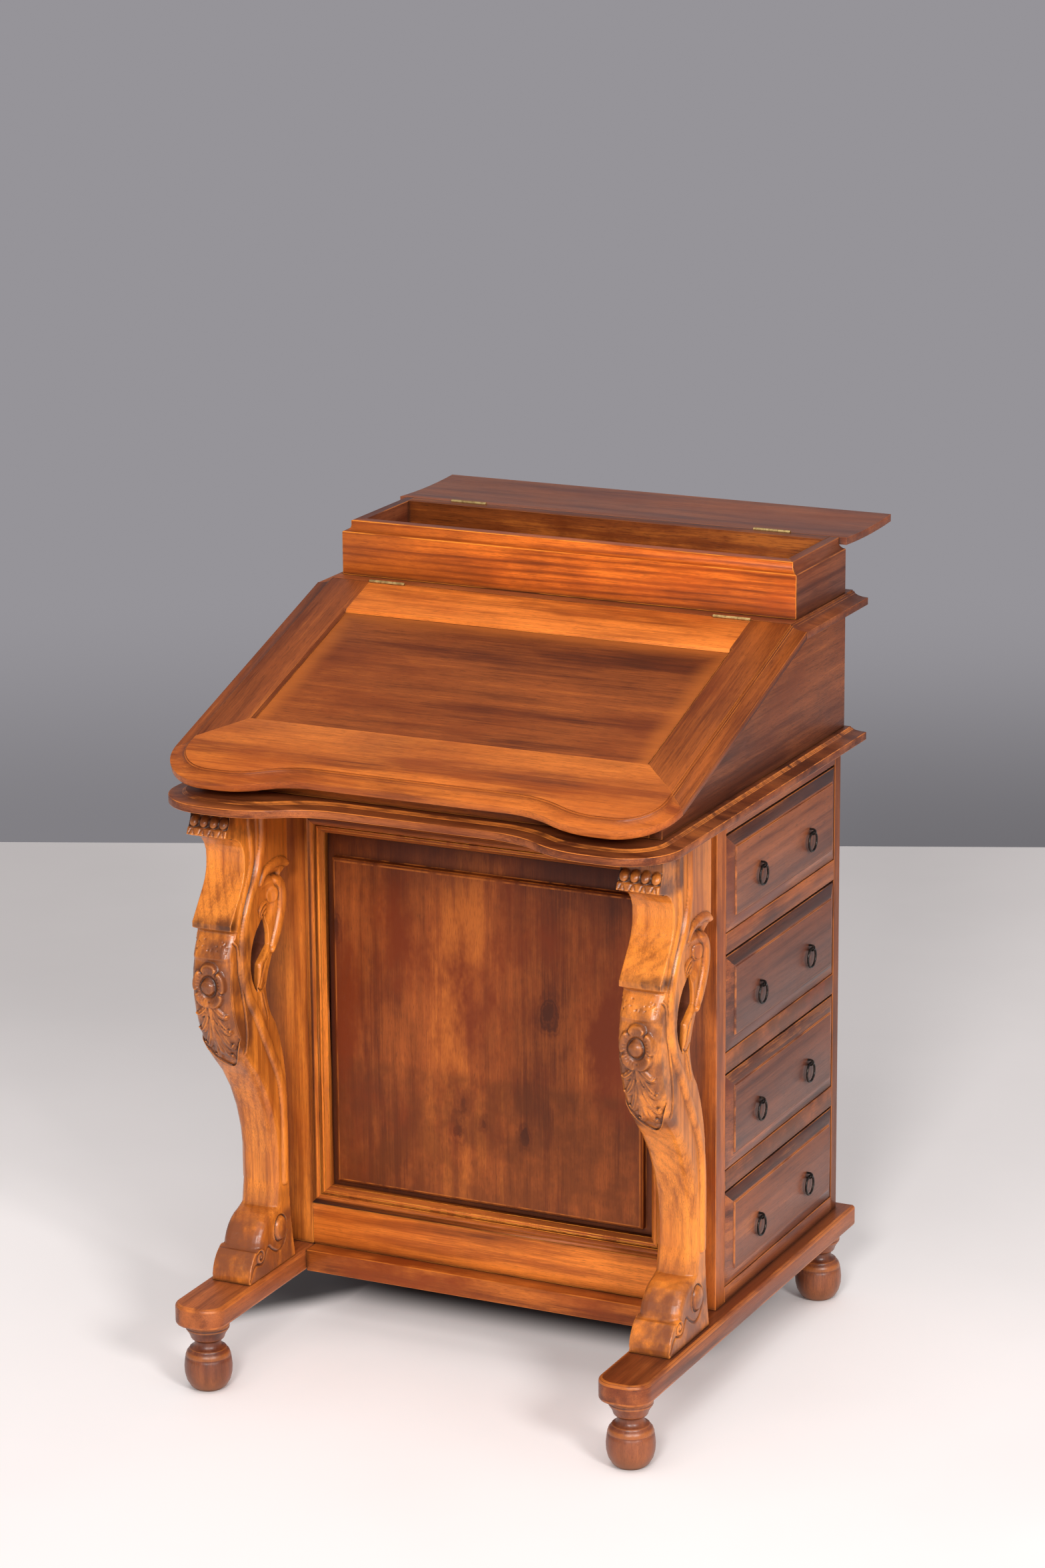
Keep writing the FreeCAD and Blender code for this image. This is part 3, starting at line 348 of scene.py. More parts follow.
    # Rubbed edges are lightened, for wear and as a painted highlight along them.
    if worn:
        rubbed = grain.noise(14.0, 70.0, 3.0, 0.6).between(0.34, 0.60) * worn
        colour = rubbed.mix(colour, blended(scaled(tone, 1.8), settings.golden, 0.5))
    roughness = (blotch - 0.5) * 0.2 + (1 - fibre) * 0.08 + crease_grime_and_shade * 0.2 + gloss
    bump = bumped(graph, 0.35, 0.22 * MM, fibre * 0.5 + bands * 0.4 - pores.between(0.58, 0.70) * 0.6)
    surface(graph, {"Base Color": colour, "Roughness": roughness, "Normal": bump,
                    "Specular IOR Level": polish})
    return material


def brass(name):
    material, graph = new_material(name)
    place = graph.coordinate()
    tarnish = place.noise(170.0, 4.0)
    colour = tarnish.between(0.38, 0.66).mix((0.86, 0.62, 0.25), (0.50, 0.32, 0.12))
    bump = bumped(graph, 0.2, 0.1 * MM, place.noise(1400.0, 2.0))
    roughness = tarnish * 0.3 + 0.28
    surface(graph, {"Base Color": colour, "Metallic": 1.0, "Roughness": roughness, "Normal": bump})
    return material


def blackened_iron(name):
    material, graph = new_material(name)
    pits = graph.coordinate().noise(420.0, 4.0)
    colour = pits.between(0.45, 0.75).mix((0.018, 0.015, 0.014), (0.075, 0.052, 0.038))
    bump = bumped(graph, 0.4, 0.15 * MM, pits)
    surface(graph, {"Base Color": colour, "Metallic": 0.75, "Roughness": pits * 0.25 + 0.26, "Normal": bump})
    return material


# --- Mesh helpers ---
def placed(name, data, matrix=Matrix()):
    """Puts a mesh, a lamp or a camera in the scene."""
    thing = bpy.data.objects.new(name, data)
    bpy.context.scene.collection.objects.link(thing)
    thing.matrix_world = matrix
    return thing


def link_object(name, mesh, node, *materials):
    """Puts a mesh in the scene as a piece with the body of a CAD node."""
    record = frame["record"]
    body = next(body for body, nodes in record["behaviour"]["bodies"].items() if node in nodes)
    slot = next(part["material_slot"] for part in record["subparts"] if part["node"] == node)
    piece = placed(name, mesh)
    mesh.materials.clear()
    for material in materials:
        mesh.materials.append(material)
    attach(piece, body)
    return piece


def repaint(node, material):
    """Gives a piece that stays as the CAD has it a finish."""
    materials = frame["nodes"][node].data.materials
    materials.clear()
    materials.append(material)


def smooth_mesh(shape, name):
    """A smoothly shaded mesh of what a bmesh holds, which is freed."""
    mesh = bpy.data.meshes.new(name)
    shape.to_mesh(mesh)
    shape.free()
    mesh.shade_smooth()
    return mesh


def joined_mesh(node, name):
    """A copy of a CAD node's mesh with its flat faces made whole again."""
    shape = bmesh.new()
    shape.from_mesh(frame["nodes"][node].data)
    bmesh.ops.remove_doubles(shape, verts=shape.verts, dist=0.002 * MM)
    bmesh.ops.dissolve_limit(shape, angle_limit=math.radians(0.4), verts=shape.verts, edges=shape.edges)
    return smooth_mesh(shape, name)


def eased_board(node, width, finish, rubbed_and_highlit_edge_finish):
    """A board with its sharp edges rubbed down; the rubbed edges have their own finish, lighter for wear and
    as a painted highlight.
    """
    name = "eased_" + node
    piece = link_object(name, joined_mesh(node, name), node, finish, rubbed_and_highlit_edge_finish)
    bevel = piece.modifiers.new("Eased edges", "BEVEL")
    bevel.width = width
    bevel.segments = 2
    bevel.limit_method = "ANGLE"
    bevel.angle_limit = math.radians(28)
    bevel.material = 1
    bevel.harden_normals = True
    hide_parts(node)
    return piece


def finish_board(node, direction, tone, seed, width=None, edge=0.55, **options):
    """Eases a board's edges and gives the board and its rubbed edges their finishes; the edges' finish is
    lighter, for wear and as a painted highlight.
    """
    face = wood(node + " wood", direction, tone, seed, **options)
    # The rubbed edges' finish is lighter, for wear and as a painted highlight.
    rubbed = wood(node + " rubbed edge", direction, tone, seed, worn=edge, **options)
    return eased_board(node, width or bpy.context.scene.davenport_wood.edge, face, rubbed)


def lay_cross_grain(piece, node, finish):
    """Gives the level members of a mitred frame a finish of their own."""
    piece.data.materials.append(finish)
    low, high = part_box(node)
    for face in piece.data.polygons:
        side_gap = min(face.center.x - low.x, high.x - face.center.x)
        end_gap = min(face.center.z - low.z, high.z - face.center.z)
        if end_gap < side_gap:
            face.material_index = 2


def face_extent(node, tilt=0.0):
    """A board's box in the frame of its grain, which is turned by tilt about X."""
    turn = Matrix.Rotation(tilt, 3, "X")
    points = [turn @ vertex.co for vertex in frame["nodes"][node].data.vertices]
    return [Vector([pick(point[i] for point in points) for i in range(3)]) for pick in (min, max)]


def full_turn(steps):
    return [2 * math.pi * i / steps for i in range(steps)]


def ring_mesh(name, path, radius, sides=14):
    """A round wire along a closed list of points that lie in a plane across X."""
    shape = bmesh.new()
    rows = []
    for i, point in enumerate(path):
        forward = (path[(i + 1) % len(path)] - path[i - 1]).normalized()
        side = forward.cross(Vector((1, 0, 0))).normalized()
        up = side.cross(forward)
        rows.append([shape.verts.new(point + radius * (math.cos(a) * side + math.sin(a) * up))
                     for a in full_turn(sides)])
    for here, following in zip(rows, rows[1:] + rows[:1]):
        for j in range(sides):
            k = (j + 1) % sides
            shape.faces.new((here[j], here[k], following[k], following[j]))
    bmesh.ops.recalc_face_normals(shape, faces=shape.faces)
    return smooth_mesh(shape, name)


def lathe_mesh(name, profile, centre, steps=96):
    """A turned piece from (radius, height) points, from the bottom of its axis to the top."""
    shape = bmesh.new()
    rows = []
    for radius, height in profile:
        if radius == 0:
            rows.append([shape.verts.new(centre + Vector((0, 0, height)))] * steps)
            continue
        rows.append([shape.verts.new(centre + Vector((radius * math.cos(a), radius * math.sin(a), height)))
                     for a in full_turn(steps)])
    for lower, upper in zip(rows, rows[1:]):
        for i in range(steps):
            j = (i + 1) % steps
            shape.faces.new(list(dict.fromkeys((lower[i], lower[j], upper[j], upper[i]))))
    bmesh.ops.recalc_face_normals(shape, faces=shape.faces)
    return smooth_mesh(shape, name)


# --- Carving: reliefs are drawn in millimetres on numpy arrays ---
def soft_step(values, low, high):
    part = np.clip((values - low) / (high - low), 0.0, 1.0)
    return part * part * (3.0 - 2.0 * part)


def smooth_line(points, steps=8):
    """More points along a drawn line, on a curve through its points."""
    drawn = [np.array(point, float) for point in points]
    drawn = [2 * drawn[0] - drawn[1]] + drawn + [2 * drawn[-1] - drawn[-2]]
    line = []
    for before, start, end, after in zip(drawn, drawn[1:], drawn[2:], drawn[3:]):
        squared = 2 * before - 5 * start + 4 * end - after
        cubed = 3 * start - before - 3 * end + after
        for t in np.arange(steps) / steps:
            line.append(0.5 * (2 * start + (end - before) * t + squared * t ** 2 + cubed * t ** 3))
    return line + [drawn[-2]]


def gap_to_line(a, b, points):
    """Distance from each (a, b) to a smooth line, and how far along it the nearest point is, 0 to 1."""
    line = smooth_line(points)
    nearest = np.full(a.shape, 1e9)
    place = np.zeros(a.shape)
    for i, (start, end) in enumerate(zip(line, line[1:])):
        run = end - start
        length = max(float(run @ run), 1e-9)
        t = np.clip(((a - start[0]) * run[0] + (b - start[1]) * run[1]) / length, 0.0, 1.0)
        gap = np.hypot(a - start[0] - t * run[0], b - start[1] - t * run[1])
        closer = gap < nearest
        nearest = np.where(closer, gap, nearest)
        place = np.where(closer, (i + t) / (len(line) - 1), place)
    return nearest, place


def rib(a, b, points, width, height, taper=0.0):
    """A rounded rib along a line; taper thins both of its ends."""
    gap, place = gap_to_line(a, b, points)
    thin = 1 - taper * (2 * np.abs(place - 0.5)) ** 3
    across = np.clip(gap / (width * np.maximum(thin, 0.05)), 0.0, 1.0)
    return height * thin * np.sqrt(1 - across ** 2) * (across < 1.0)


def cut_line(a, b, points, width, depth):
    gap, _ = gap_to_line(a, b, points)
    return -depth * np.clip(1 - gap / width, 0.0, 1.0)


def flower(a, b):
    """A rosette of five petals round a button, 19.5 by 25 from its middle: its height above the wood."""
    reach = np.hypot(a / 19.5, b / 25.0)
    angle = np.arctan2(a / 19.5, -b / 25.0)
    petal = np.abs(np.mod(angle * 5 / (2 * np.pi) + 0.5, 1.0) - 0.5) * 2
    rim = 1 - 0.17 * petal ** 4
    plate = 1 - soft_step(reach / rim, 0.94, 1.04)
    curl = 0.4 + 2.6 * soft_step(reach, 0.52, 0.86) - soft_step(reach / rim, 0.88, 1.0)
    rays = 0.45 * np.cos(angle * 30) * soft_step(reach, 0.54, 0.62) * (1 - soft_step(reach, 0.66, 0.78))
    between = -2.2 * soft_step(petal, 0.80, 0.97) * soft_step(reach, 0.56, 0.74)
    moat = -2.4 * np.clip(1 - np.abs(reach - 0.44) / 0.10, 0, 1)
    button = 4.8 * np.sqrt(np.clip(1 - (np.hypot(a, b) / 8.2) ** 2, 0, 1))
    return np.where(plate > 0, curl + rays + between + moat, -9.0), plate, button


def lobe(a, b, line, width, height):
    """One lobe of a leaf along a line from its root to its tip, raked by curved cuts."""
    gap, place = gap_to_line(a, b, line)
    half = width * np.sqrt(np.clip(np.sin(np.pi * np.clip(place * 0.9 + 0.1, 0, 1)), 0, 1)) + 0.01
    inside = np.clip(gap / half, 0, 1)
    raked = 0.8 * np.cos(gap * 2 * np.pi / 3.2)
    return np.where(inside < 1, height * (1 - inside ** 3) + raked * (1 - inside), 0.0)


def pendant_leaf(a, b):
    """An acanthus leaf that hangs 70 down from the origin: a stem, and lobes to each side."""
    relief = np.zeros(a.shape)
    lobes = [(-4, 19, 15, 5.0), (4, 19, 27, 5.4), (14, 17, 37, 5.2), (28, 10, 38, 4.6)]
    for side in (-1, 1):
        for root, reach, fall, width in lobes:
            line = [(side * 2, root), (side * reach * 0.35, root + fall * 0.5),
                    (side * reach * 0.75, root + fall * 0.9), (side * reach, root + fall * 0.8)]
            relief = np.maximum(relief, lobe(a, b, line, width, 3.2))
    stem = 4.4 * np.sqrt(np.clip(1 - (a / 3.2) ** 2, 0, 1)) * (b > -6) * (1 - soft_step(b, 52, 68))
    return np.maximum(relief, stem)


def dimples(across, drop, places, radius):
    """How deep small round pits go at each point, 1 at a pit's middle."""
    return sum(np.clip(1 - np.hypot(across - x, drop - z) / radius, 0, 1) for x, z in places)


def front_carving(across, drop):
    """Relief on the front of a leg: across from its middle, drop from its top."""
    top, tip, rosette, leaf_root = 174, 299, 199, 222
    width = 24.0 * np.sqrt(np.clip((tip - drop) / 40.0, 0, 1))
    shield = soft_step(width - np.abs(across), 0.3, 1.6) * soft_step(drop, top - 6, top)
    pits = [(22 * math.sin(i * 2.4), 176 + 118 * ((i * 0.618) % 1.0)) for i in range(46)]
    ground = -2.4 - dimples(across, drop, pits, 1.9)
    petals, plate, button = flower(across, drop - rosette)
    leaf = pendant_leaf(across, drop - leaf_root)
    carved = np.maximum(ground + leaf, ground * (1 - plate) + petals * plate)
    relief = shield * np.maximum(carved, -4.0)
    relief = np.where(np.hypot(across, drop - rosette) < 8.2, button, relief)
    relief += 1.2 * np.clip(1 - np.abs(width - np.abs(across)) / 1.6, 0, 1) * (drop > top) * (drop < tip)
    pits = [(18 * math.sin(i * 2.4), 151 + 11 * abs(math.cos(i * 1.7))) for i in range(18)]
    relief -= 1.1 * dimples(across, drop, pits, 1.7)
    return relief + crest_carving(across, drop)


def crest_carving(across, drop):
    """Relief at the top of a leg's front: a row of beads over a band of tulip leaves."""
    pitch, bead_radius, bead_drop, beads_end, band_end = 11.5, 5.4, 24.0, 30.2, 42
    beads = np.zeros(across.shape)
    for i in range(4):
        ball = 1 - ((across + 17.2 - i * pitch) / bead_radius) ** 2 - ((drop - bead_drop) / 6.2) ** 2
        beads = np.maximum(beads, bead_radius * np.sqrt(np.clip(ball, 0, 1)))
    tulip = np.abs(np.mod(across / pitch, 1.0) - 0.5) * 2
    flare = np.clip((drop - 31.0) / 9.0, 0, 1)
    band = 0.8 - 1.4 * np.clip(1 - np.abs(tulip - 0.15 - 0.6 * flare) / 0.2, 0, 1)
    band -= 3.0 * (tulip * soft_step(drop, 36, band_end)) ** 2
    return np.where(drop < beads_end, beads - 3.4, np.where(drop < band_end, band, 0.0))


def side_carving(back, drop):
    """Relief on the side of a leg: back from the knee's front, drop from its top."""
    spine = [(81, 0), (81, 34), (80, 58), (74, 79), (66, 95), (52, 112), (42, 131), (35, 152), (32, 174),
             (35, 197), (45, 221), (60, 243), (73, 266), (87, 290), (100, 313), (110, 338), (114, 380),
             (114, 445)]
    second = [(54, 0), (53, 30), (56, 52), (57, 74), (49, 93), (39, 109), (28, 130), (18, 148)]
    relief = rib(back, drop, spine, 6.5, 3.2, 0.15) + rib(back, drop, second, 4.5, 1.8, 0.3)
    relief += cut_line(back, drop, [(68, 0), (68, 30), (68, 60), (64, 82), (50, 103), (36, 126)], 3.0, 1.5)
    shield = [(15, 150), (23, 160), (25, 176), (26, 190), (32, 212), (38, 240), (40, 262), (36, 280)]
    relief += rib(back, drop, shield, 1.2, 0.8) + cut_line(back + 1.8, drop, shield, 1.6, 1.0)
    arch = [(74, 104), (80, 96), (90, 92), (106, 90), (122, 92), (133, 98)]
    relief += rib(back, drop, arch, 5.0, 3.2, 0.3)
    relief += cut_line(back, drop, [(84, 106), (98, 102), (112, 104)], 6.0, 3.4)
    bow = [(108, 108), (117, 116), (120, 128), (118, 142), (112, 156), (104, 170), (96, 181)]
    relief += rib(back, drop, bow, 7.0, 3.6, 0.25)
    well = np.hypot((back - 88) / 21.0, (drop - 130) / 24.0)
    relief -= 3.0 * (1 - soft_step(well, 0.6, 1.0))
    for reach in (8.0, 12.5, 17.0):
        turns = np.radians(np.arange(-165, -60, 15))
        curl = [(91 + reach * math.cos(t), 148 + reach * 1.1 * math.sin(t)) for t in turns]
        relief += rib(back, drop, curl, 2.2, 1.8, 0.6)
    for line in ([(98, 178), (86, 186), (76, 200), (70, 216)], [(90, 178), (78, 186), (69, 198), (67, 212)]):
        relief += rib(back, drop, line, 3.6, 1.8, 0.7)
    relief += cut_line(back, drop, [(66, 216), (73, 220), (82, 214)], 1.4, 1.3)
    for shift in (0, 5):
        relief += rib(back, drop, [(70 + shift, 221), (74 + shift, 236), (82 + shift, 256)], 2.0, 1.1, 0.6)
    shin = [(36, 292), (58, 318), (80, 350), (88, 390), (86, 430), (90, 462)]
    relief += cut_line(back, drop, shin, 1.6, 0.8)
    turns = np.radians(np.arange(20, 560, 24))
    reaches = 9.5 - 7.5 * turns / turns[-1]
    scroll = [(56 + reach * math.cos(t), 512.5 + reach * math.sin(t)) for reach, t in zip(reaches, turns)]
    relief += cut_line(back, drop, scroll, 1.7, 1.6)
    medal = np.hypot((back - 100.5) / 14.0, (drop - 495) / 15.5)
    relief += 2.4 * np.sqrt(np.clip(1 - (medal / 0.8) ** 2, 0, 1))
    relief -= 2.0 * np.clip(1 - np.abs(medal - 0.92) / 0.12, 0, 1)
    sweep = [(34, 533), (46, 520), (62, 522), (74, 508), (84, 514), (96, 520), (108, 516), (116, 503)]
    relief += cut_line(back, drop, sweep, 1.8, 1.4)
    return relief * 1.35


def rows_of(items, name):
    """A vector property of a mesh's vertices, one row for each."""
    values = np.empty(len(items) * 3, np.float32)
    items.foreach_get(name, values)
    return values.reshape(-1, 3).astype(float)


def carved_leg(side, carving, finish, inside):
    """A leg with its carving cut into a fine grid of points; inside is a darker finish, painted shade, for
    the pierced scroll's walls.
    """
    node = "leg_" + side
    name = "carved_" + node
    low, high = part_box(node)
    piece = link_object(name, joined_mesh(node, name), node, finish)
    remesh = piece.modifiers.new("Fine grid", "REMESH")
    remesh.mode = "VOXEL"
    remesh.voxel_size = carving.grid
    soften = piece.modifiers.new("Soften", "SMOOTH")
    soften.iterations = 2
    bpy.context.view_layer.update()
    mesh = bpy.data.meshes.new_from_object(piece.evaluated_get(bpy.context.evaluated_depsgraph_get()))
    piece.modifiers.clear()
    piece.data = mesh
    mesh.name = name
    points = rows_of(mesh.vertices, "co")
    normals = rows_of(mesh.vertex_normals, "vector")
    across = (points[:, 0] - (low.x + high.x) / 2) / MM
    back = (points[:, 1] - low.y) / MM
    drop = (high.z - points[:, 2]) / MM
    faces_front = soft_step(-normals[:, 1] + 0.3 * np.abs(normals[:, 2]), 0.10, 0.45) * (back < 60)
    faces_side = soft_step(np.abs(normals[:, 0]), 0.60, 0.92)
    depth = carving.depth * MM
    points[:, 1] -= front_carving(across, drop) * faces_front * depth
    points[:, 0] += np.sign(normals[:, 0]) * side_carving(back, drop) * faces_side * depth
    mesh.vertices.foreach_set("co", points.astype(np.float32).ravel())
    mesh.update()
    mesh.shade_smooth()
    mesh.materials.append(inside)
    half_width = (high.x - low.x) / 2
    flank_depth = 6 * MM
    scroll_low, scroll_high, scroll_front, scroll_back = 0.312, 0.436, 0.036, 0.105
    # Faces inside the pierced scroll take the darker finish, as painted shade.
    for face in mesh.polygons:
        x, y, z = face.center - low
        within = abs(x - half_width) < half_width - flank_depth
        if within and scroll_low < z < scroll_high and scroll_front < y < scroll_back:
            face.material_index = 1
    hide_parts(node)


# --- Pieces ---
class DAVENPORT_OT_carve_legs(bpy.types.Operator):
    """Cuts the carving into the two bracket legs"""
    bl_idname = "davenport.carve_legs"
    bl_label = "Carve the legs"

    def execute(self, context):
        settings = context.scene.davenport_wood
        walnut = (0.150, 0.042, 0.014)
        chestnut = (0.230, 0.064, 0.020)
        # Dark patches on the legs: stain on the knees, the ledge and the toes, and at the top, under the
        # waist board, a painted shadow.
        stains = [(0.335, 0.480, -0.240, walnut, 0.9), (0.490, 0.503, -0.258, scaled(walnut, 0.4), 0.95),
                  (0.585, 0.660, -0.225, walnut, 1.0), (0.085, 0.152, -0.165, chestnut, 1.0),
                  (0.040, 0.175, -0.130, chestnut, 0.35)]
        tone = blended(settings.golden, settings.amber, 0.2)
        # The pierced scroll's walls are painted darker, as the shade inside the piercing.
        inside = wood("shaded scroll wood", "Z", scaled(settings.umber, 0.8), 9)
        for side, seed, share in (("left", 3, 1.04), ("right", 7, 1.0)):
            finish = wood("carved wood " + side, "Z", scaled(tone, share), seed, rings=0.12, spacing=8 * MM,
                          contrast=0.85, mottle=0.45, gloss=0.27, polish=0.5, corners=1.0, carved=True,
                          stains=stains)
            carved_leg(side, context.scene.davenport_carving, finish, inside)
        return {"FINISHED"}


class DAVENPORT_OT_turn_feet(bpy.types.Operator):
    """Turns the four bun feet"""
    bl_idname = "davenport.turn_feet"
    bl_label = "Turn the feet"

    profile_mm = [
        (0, 0), (12.5, 0), (15.5, 0.7), (19.5, 4), (23.2, 10.5), (25.1, 18), (25.5, 25.5), (24.8, 32),
        (24.2, 35.6), (23.5, 36.6), (24.0, 37.6), (22.6, 41.5), (20.6, 43.9), (19.7, 44.8), (19.6, 45.6),
        (17.2, 46.4), (15.3, 48), (14.2, 50.5), (14, 53.2), (14.5, 55.6), (17.2, 56.6), (17.9, 57.6),
        (18.6, 60), (20.2, 63.4), (22.4, 66.6), (23.2, 68), (23.3, 69), (22.8, 69.6), (23.4, 70.3),
        (23.5, 71.5), (23.5, 75.4), (0, 75.4)]

    def execute(self, context):
        finish = wood("turned wood", "Z", brown(0.2), 5, gloss=0.33, polish=0.6, carved=True, mottle=0.8)
        low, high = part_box("bun_feet")
        radius = max(r for r, _ in self.profile_mm) * MM
        profile = [(r * MM, z * MM) for r, z in self.profile_mm]
        pieces = []
        for x in (low.x + radius, high.x - radius):
            for y in (low.y + radius, high.y - radius):
                name = "turned_foot_%d" % (len(pieces) + 1)
                mesh = lathe_mesh(name, profile, Vector((x, y, low.z)))
                pieces.append(link_object(name, mesh, "bun_feet", finish))
        for piece in pieces:
            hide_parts("bun_feet")
        return {"FINISHED"}


class DAVENPORT_OT_finish_base(bpy.types.Operator):
    """Finishes the runners and rails of the base"""
    bl_idname = "davenport.finish_base"
    bl_label = "Finish the base"

    def execute(self, context):
        settings = context.scene.davenport_wood
        tone = brown(0.42)
        reddish = scaled(blended(settings.russet, settings.amber, 0.6), 0.75)
        for i, side in enumerate(("left", "right")):
            finish_board("base_runner_" + side, "Y", tone, 21 + i, width=1.5 * MM, polish=0.4)
        finish_board("base_front_rail", "X", reddish, 23, mottle=1.1, contrast=1.2)
        finish_board("base_back_rail", "X", tone, 24)
        return {"FINISHED"}


class DAVENPORT_OT_finish_case(bpy.types.Operator):
    """Finishes the pedestal and the slope box"""
    bl_idname = "davenport.finish_case"
    bl_label = "Finish the case"

    def execute(self, context):
        settings = context.scene.davenport_wood
        warm = blended(settings.russet, settings.amber, 0.62)
        gold = blended(scaled(settings.amber, 1.3), settings.golden, 0.3)
        low, high = face_extent("front_stile_left")
        # A painted shadow of the left leg, darkening the stile along its left edge.
        shaded = ((low, high + Vector((0.1, 0, 0))), "X", 38 * MM, None, 0.8)
        bright = blended(warm, settings.golden, 0.5)
        finish_board("front_stile_left", "Z", bright, 31, mottle=0.5, borders=[shaded])
        finish_board("front_stile_right", "Z", warm, 32, mottle=0.8, polish=0.5)
        finish_board("front_rails", "X", gold, 33, mottle=0.35)
        bright = scaled(blended(warm, settings.golden, 0.25), 1.45)
        moulding = finish_board("front_moulding", "Z", bright, 34, corners=0.6, edge=0.9, width=0.5 * MM,
                                moulded="Y", slopes=0.3)
        cross = wood("front_moulding cross wood", "X", warm, 34.5, corners=0.7, moulded="Y", slopes=0.35)
        lay_cross_grain(moulding, "front_moulding", cross)
        self.finish_panel(settings.russet)
        side = scaled(brown(0.22), 0.9)
        for node, direction, seed in (("rear_stile_left", "Z", 36), ("rear_stile_right", "Z", 37),
                                      ("side_rails_left", "Y", 38), ("side_panel_left", "Z", 39),
                                      ("slope_side_left", "Y", 41), ("slope_side_right", "Y", 42),
                                      ("slope_box_back", "X", 43), ("back_panel", "Z", 44)):
            finish_board(node, direction, side, seed)
        finish_board("slope_box_front", "X", settings.amber, 45)
        for node, seed in (("pedestal_bottom", 46), ("drawer_runners", 47)):
            repaint(node, wood(node + " wood", "X", brown(0.3), seed, gloss=0.6))
        return {"FINISHED"}

    def finish_panel(self, russet):
        """The raised panel of the front, with painted shade along its edges, a painted shadow of the waist
        board across its top, a golden streak and knots.
        """
        rim_inset = Vector((10 * MM, 0, 10 * MM))
        low, high = face_extent("front_panel")
        low, high = low + rim_inset, high - rim_inset
        # Painted shade along the panel's edges inside the moulding, and a painted shadow of the waist board
        # across its top.
        rim = ((low, high), "XZ", 34 * MM, None, 0.75)
        waist_shadow = ((low - Vector((0, 0, 0.3)), high), "Z", 95 * MM, None, 0.7)
        finish_board("front_panel", "Z", scaled(russet, 0.88), 35, gloss=0.38, mottle=1.1, contrast=1.15,
                     corners=0.7, stripes=0.5, rings=0.13, spacing=19 * MM, swirl=12.0, borders=[rim, waist_shadow],
                     streak=(-0.048, 0.06, 0.36), stains=[(0.14, 0.31, 1.0, scaled(russet, 0.4), 0.6)],
                     knots=[(0.256, -0.042, 0.007), (0.285, -0.037, 0.005), (0.264, -0.012, 0.004),
                            (0.258, 0.034, 0.005), (0.397, 0.064, 0.008), (0.458, -0.188, 0.006)])


class DAVENPORT_OT_finish_tops(bpy.types.Operator):
    """Finishes the waist board and the top board"""
    bl_idname = "davenport.finish_tops"
    bl_label = "Finish the waist and top boards"

    def execute(self, context):
        tone = brown(0.30)
        # The waist board's cove and ledge are darkened strongly, as painted shade.
        finish_board("waist_board", "X", tone, 51, edge=1.0, corners=1.0, moulded="Z", slopes=0.75,
                     contrast=1.3)
        finish_board("top_board", "X", tone, 52, edge=0.9, corners=1.0, moulded="Z")
        return {"FINISHED"}


class DAVENPORT_OT_finish_lid(bpy.types.Operator):
    """Finishes the framed writing lid"""
    bl_idname = "davenport.finish_lid"
    bl_label = "Finish the writing lid"

    def execute(self, context):
        settings = context.scene.davenport_wood
        slope = math.radians(-18.5)
        left = scaled(blended(settings.russet, settings.umber, 0.2), 0.85)
        right = scaled(blended(settings.russet, settings.amber, 0.2), 0.9)
        amber = settings.amber
        finish_board("lid_stile_left", "Y", left, 61, tilt=slope, edge=0.9, moulded="Z")
        finish_board("lid_stile_right", "Y", right, 62, tilt=slope, edge=0.9, moulded="Z")
        finish_board("lid_top_rail", "X", scaled(amber, 1.2), 63, tilt=slope, edge=0.9)
        finish_board("lid_front_rail", "X", scaled(amber, 0.88), 64, tilt=slope, edge=0.9, moulded="Z",
                     contrast=1.2)
        low, high = face_extent("lid_panel", slope)
        rubbed = ((low - Vector((0, 0.1, 0)), high), "XY", 27 * MM, scaled(amber, 0.85), 0.6)
        finish_board("lid_panel", "X", scaled(settings.russet, 0.85), 65, tilt=slope, gloss=0.42,
                     contrast=1.2, corners=0.5, borders=[rubbed])
        return {"FINISHED"}


class DAVENPORT_OT_finish_pen_box(bpy.types.Operator):
    """Finishes the pen box and its lid"""
    bl_idname = "davenport.finish_pen_box"
    bl_label = "Finish the pen box"

    def execute(self, context):
        settings = context.scene.davenport_wood
        low, high = face_extent("pen_box_front")
        # The front grows darker toward its left end.
        darker_leftward = ((low, high + Vector((0.5, 0, 0))), "X", 260 * MM, scaled(settings.russet, 0.8), 0.6)
        gold = tinted(settings.amber, 1.3, 1.12, 0.8)
        finish_board("pen_box_front", "X", gold, 71, rings=0.24, spacing=8 * MM, swirl=14.0, edge=0.8,
                     borders=[darker_leftward])
        finish_board("pen_box_back", "X", scaled(settings.russet, 0.55), 72, mottle=0.9, contrast=1.2)
        finish_board("pen_box_ends", "Y", brown(0.1), 73)
        finish_board("pen_lid", "X", brown(0.22), 74, polish=0.5, contrast=0.8)
        return {"FINISHED"}


def stain_slopes(piece, finish, shaded_upper_finish):
    """Gives the sloped border of a drawer's front its own finishes, the second, darker, along its top as
    painted shade.
    """
    piece.data.materials.append(finish)
    piece.data.materials.append(shaded_upper_finish)
    for face in piece.data.polygons:
        if 0.3 < abs(face.normal.x) < 0.98:
            face.material_index = 3 if face.normal.z > 0.1 else 2


def ease_top(piece, top, drop):
    """Lowers the top edge of a drawer's front, so that a dark gap shows above it."""
    for vertex in piece.data.vertices:
        if vertex.co.z > top - 0.1 * MM:
            vertex.co.z -= drop


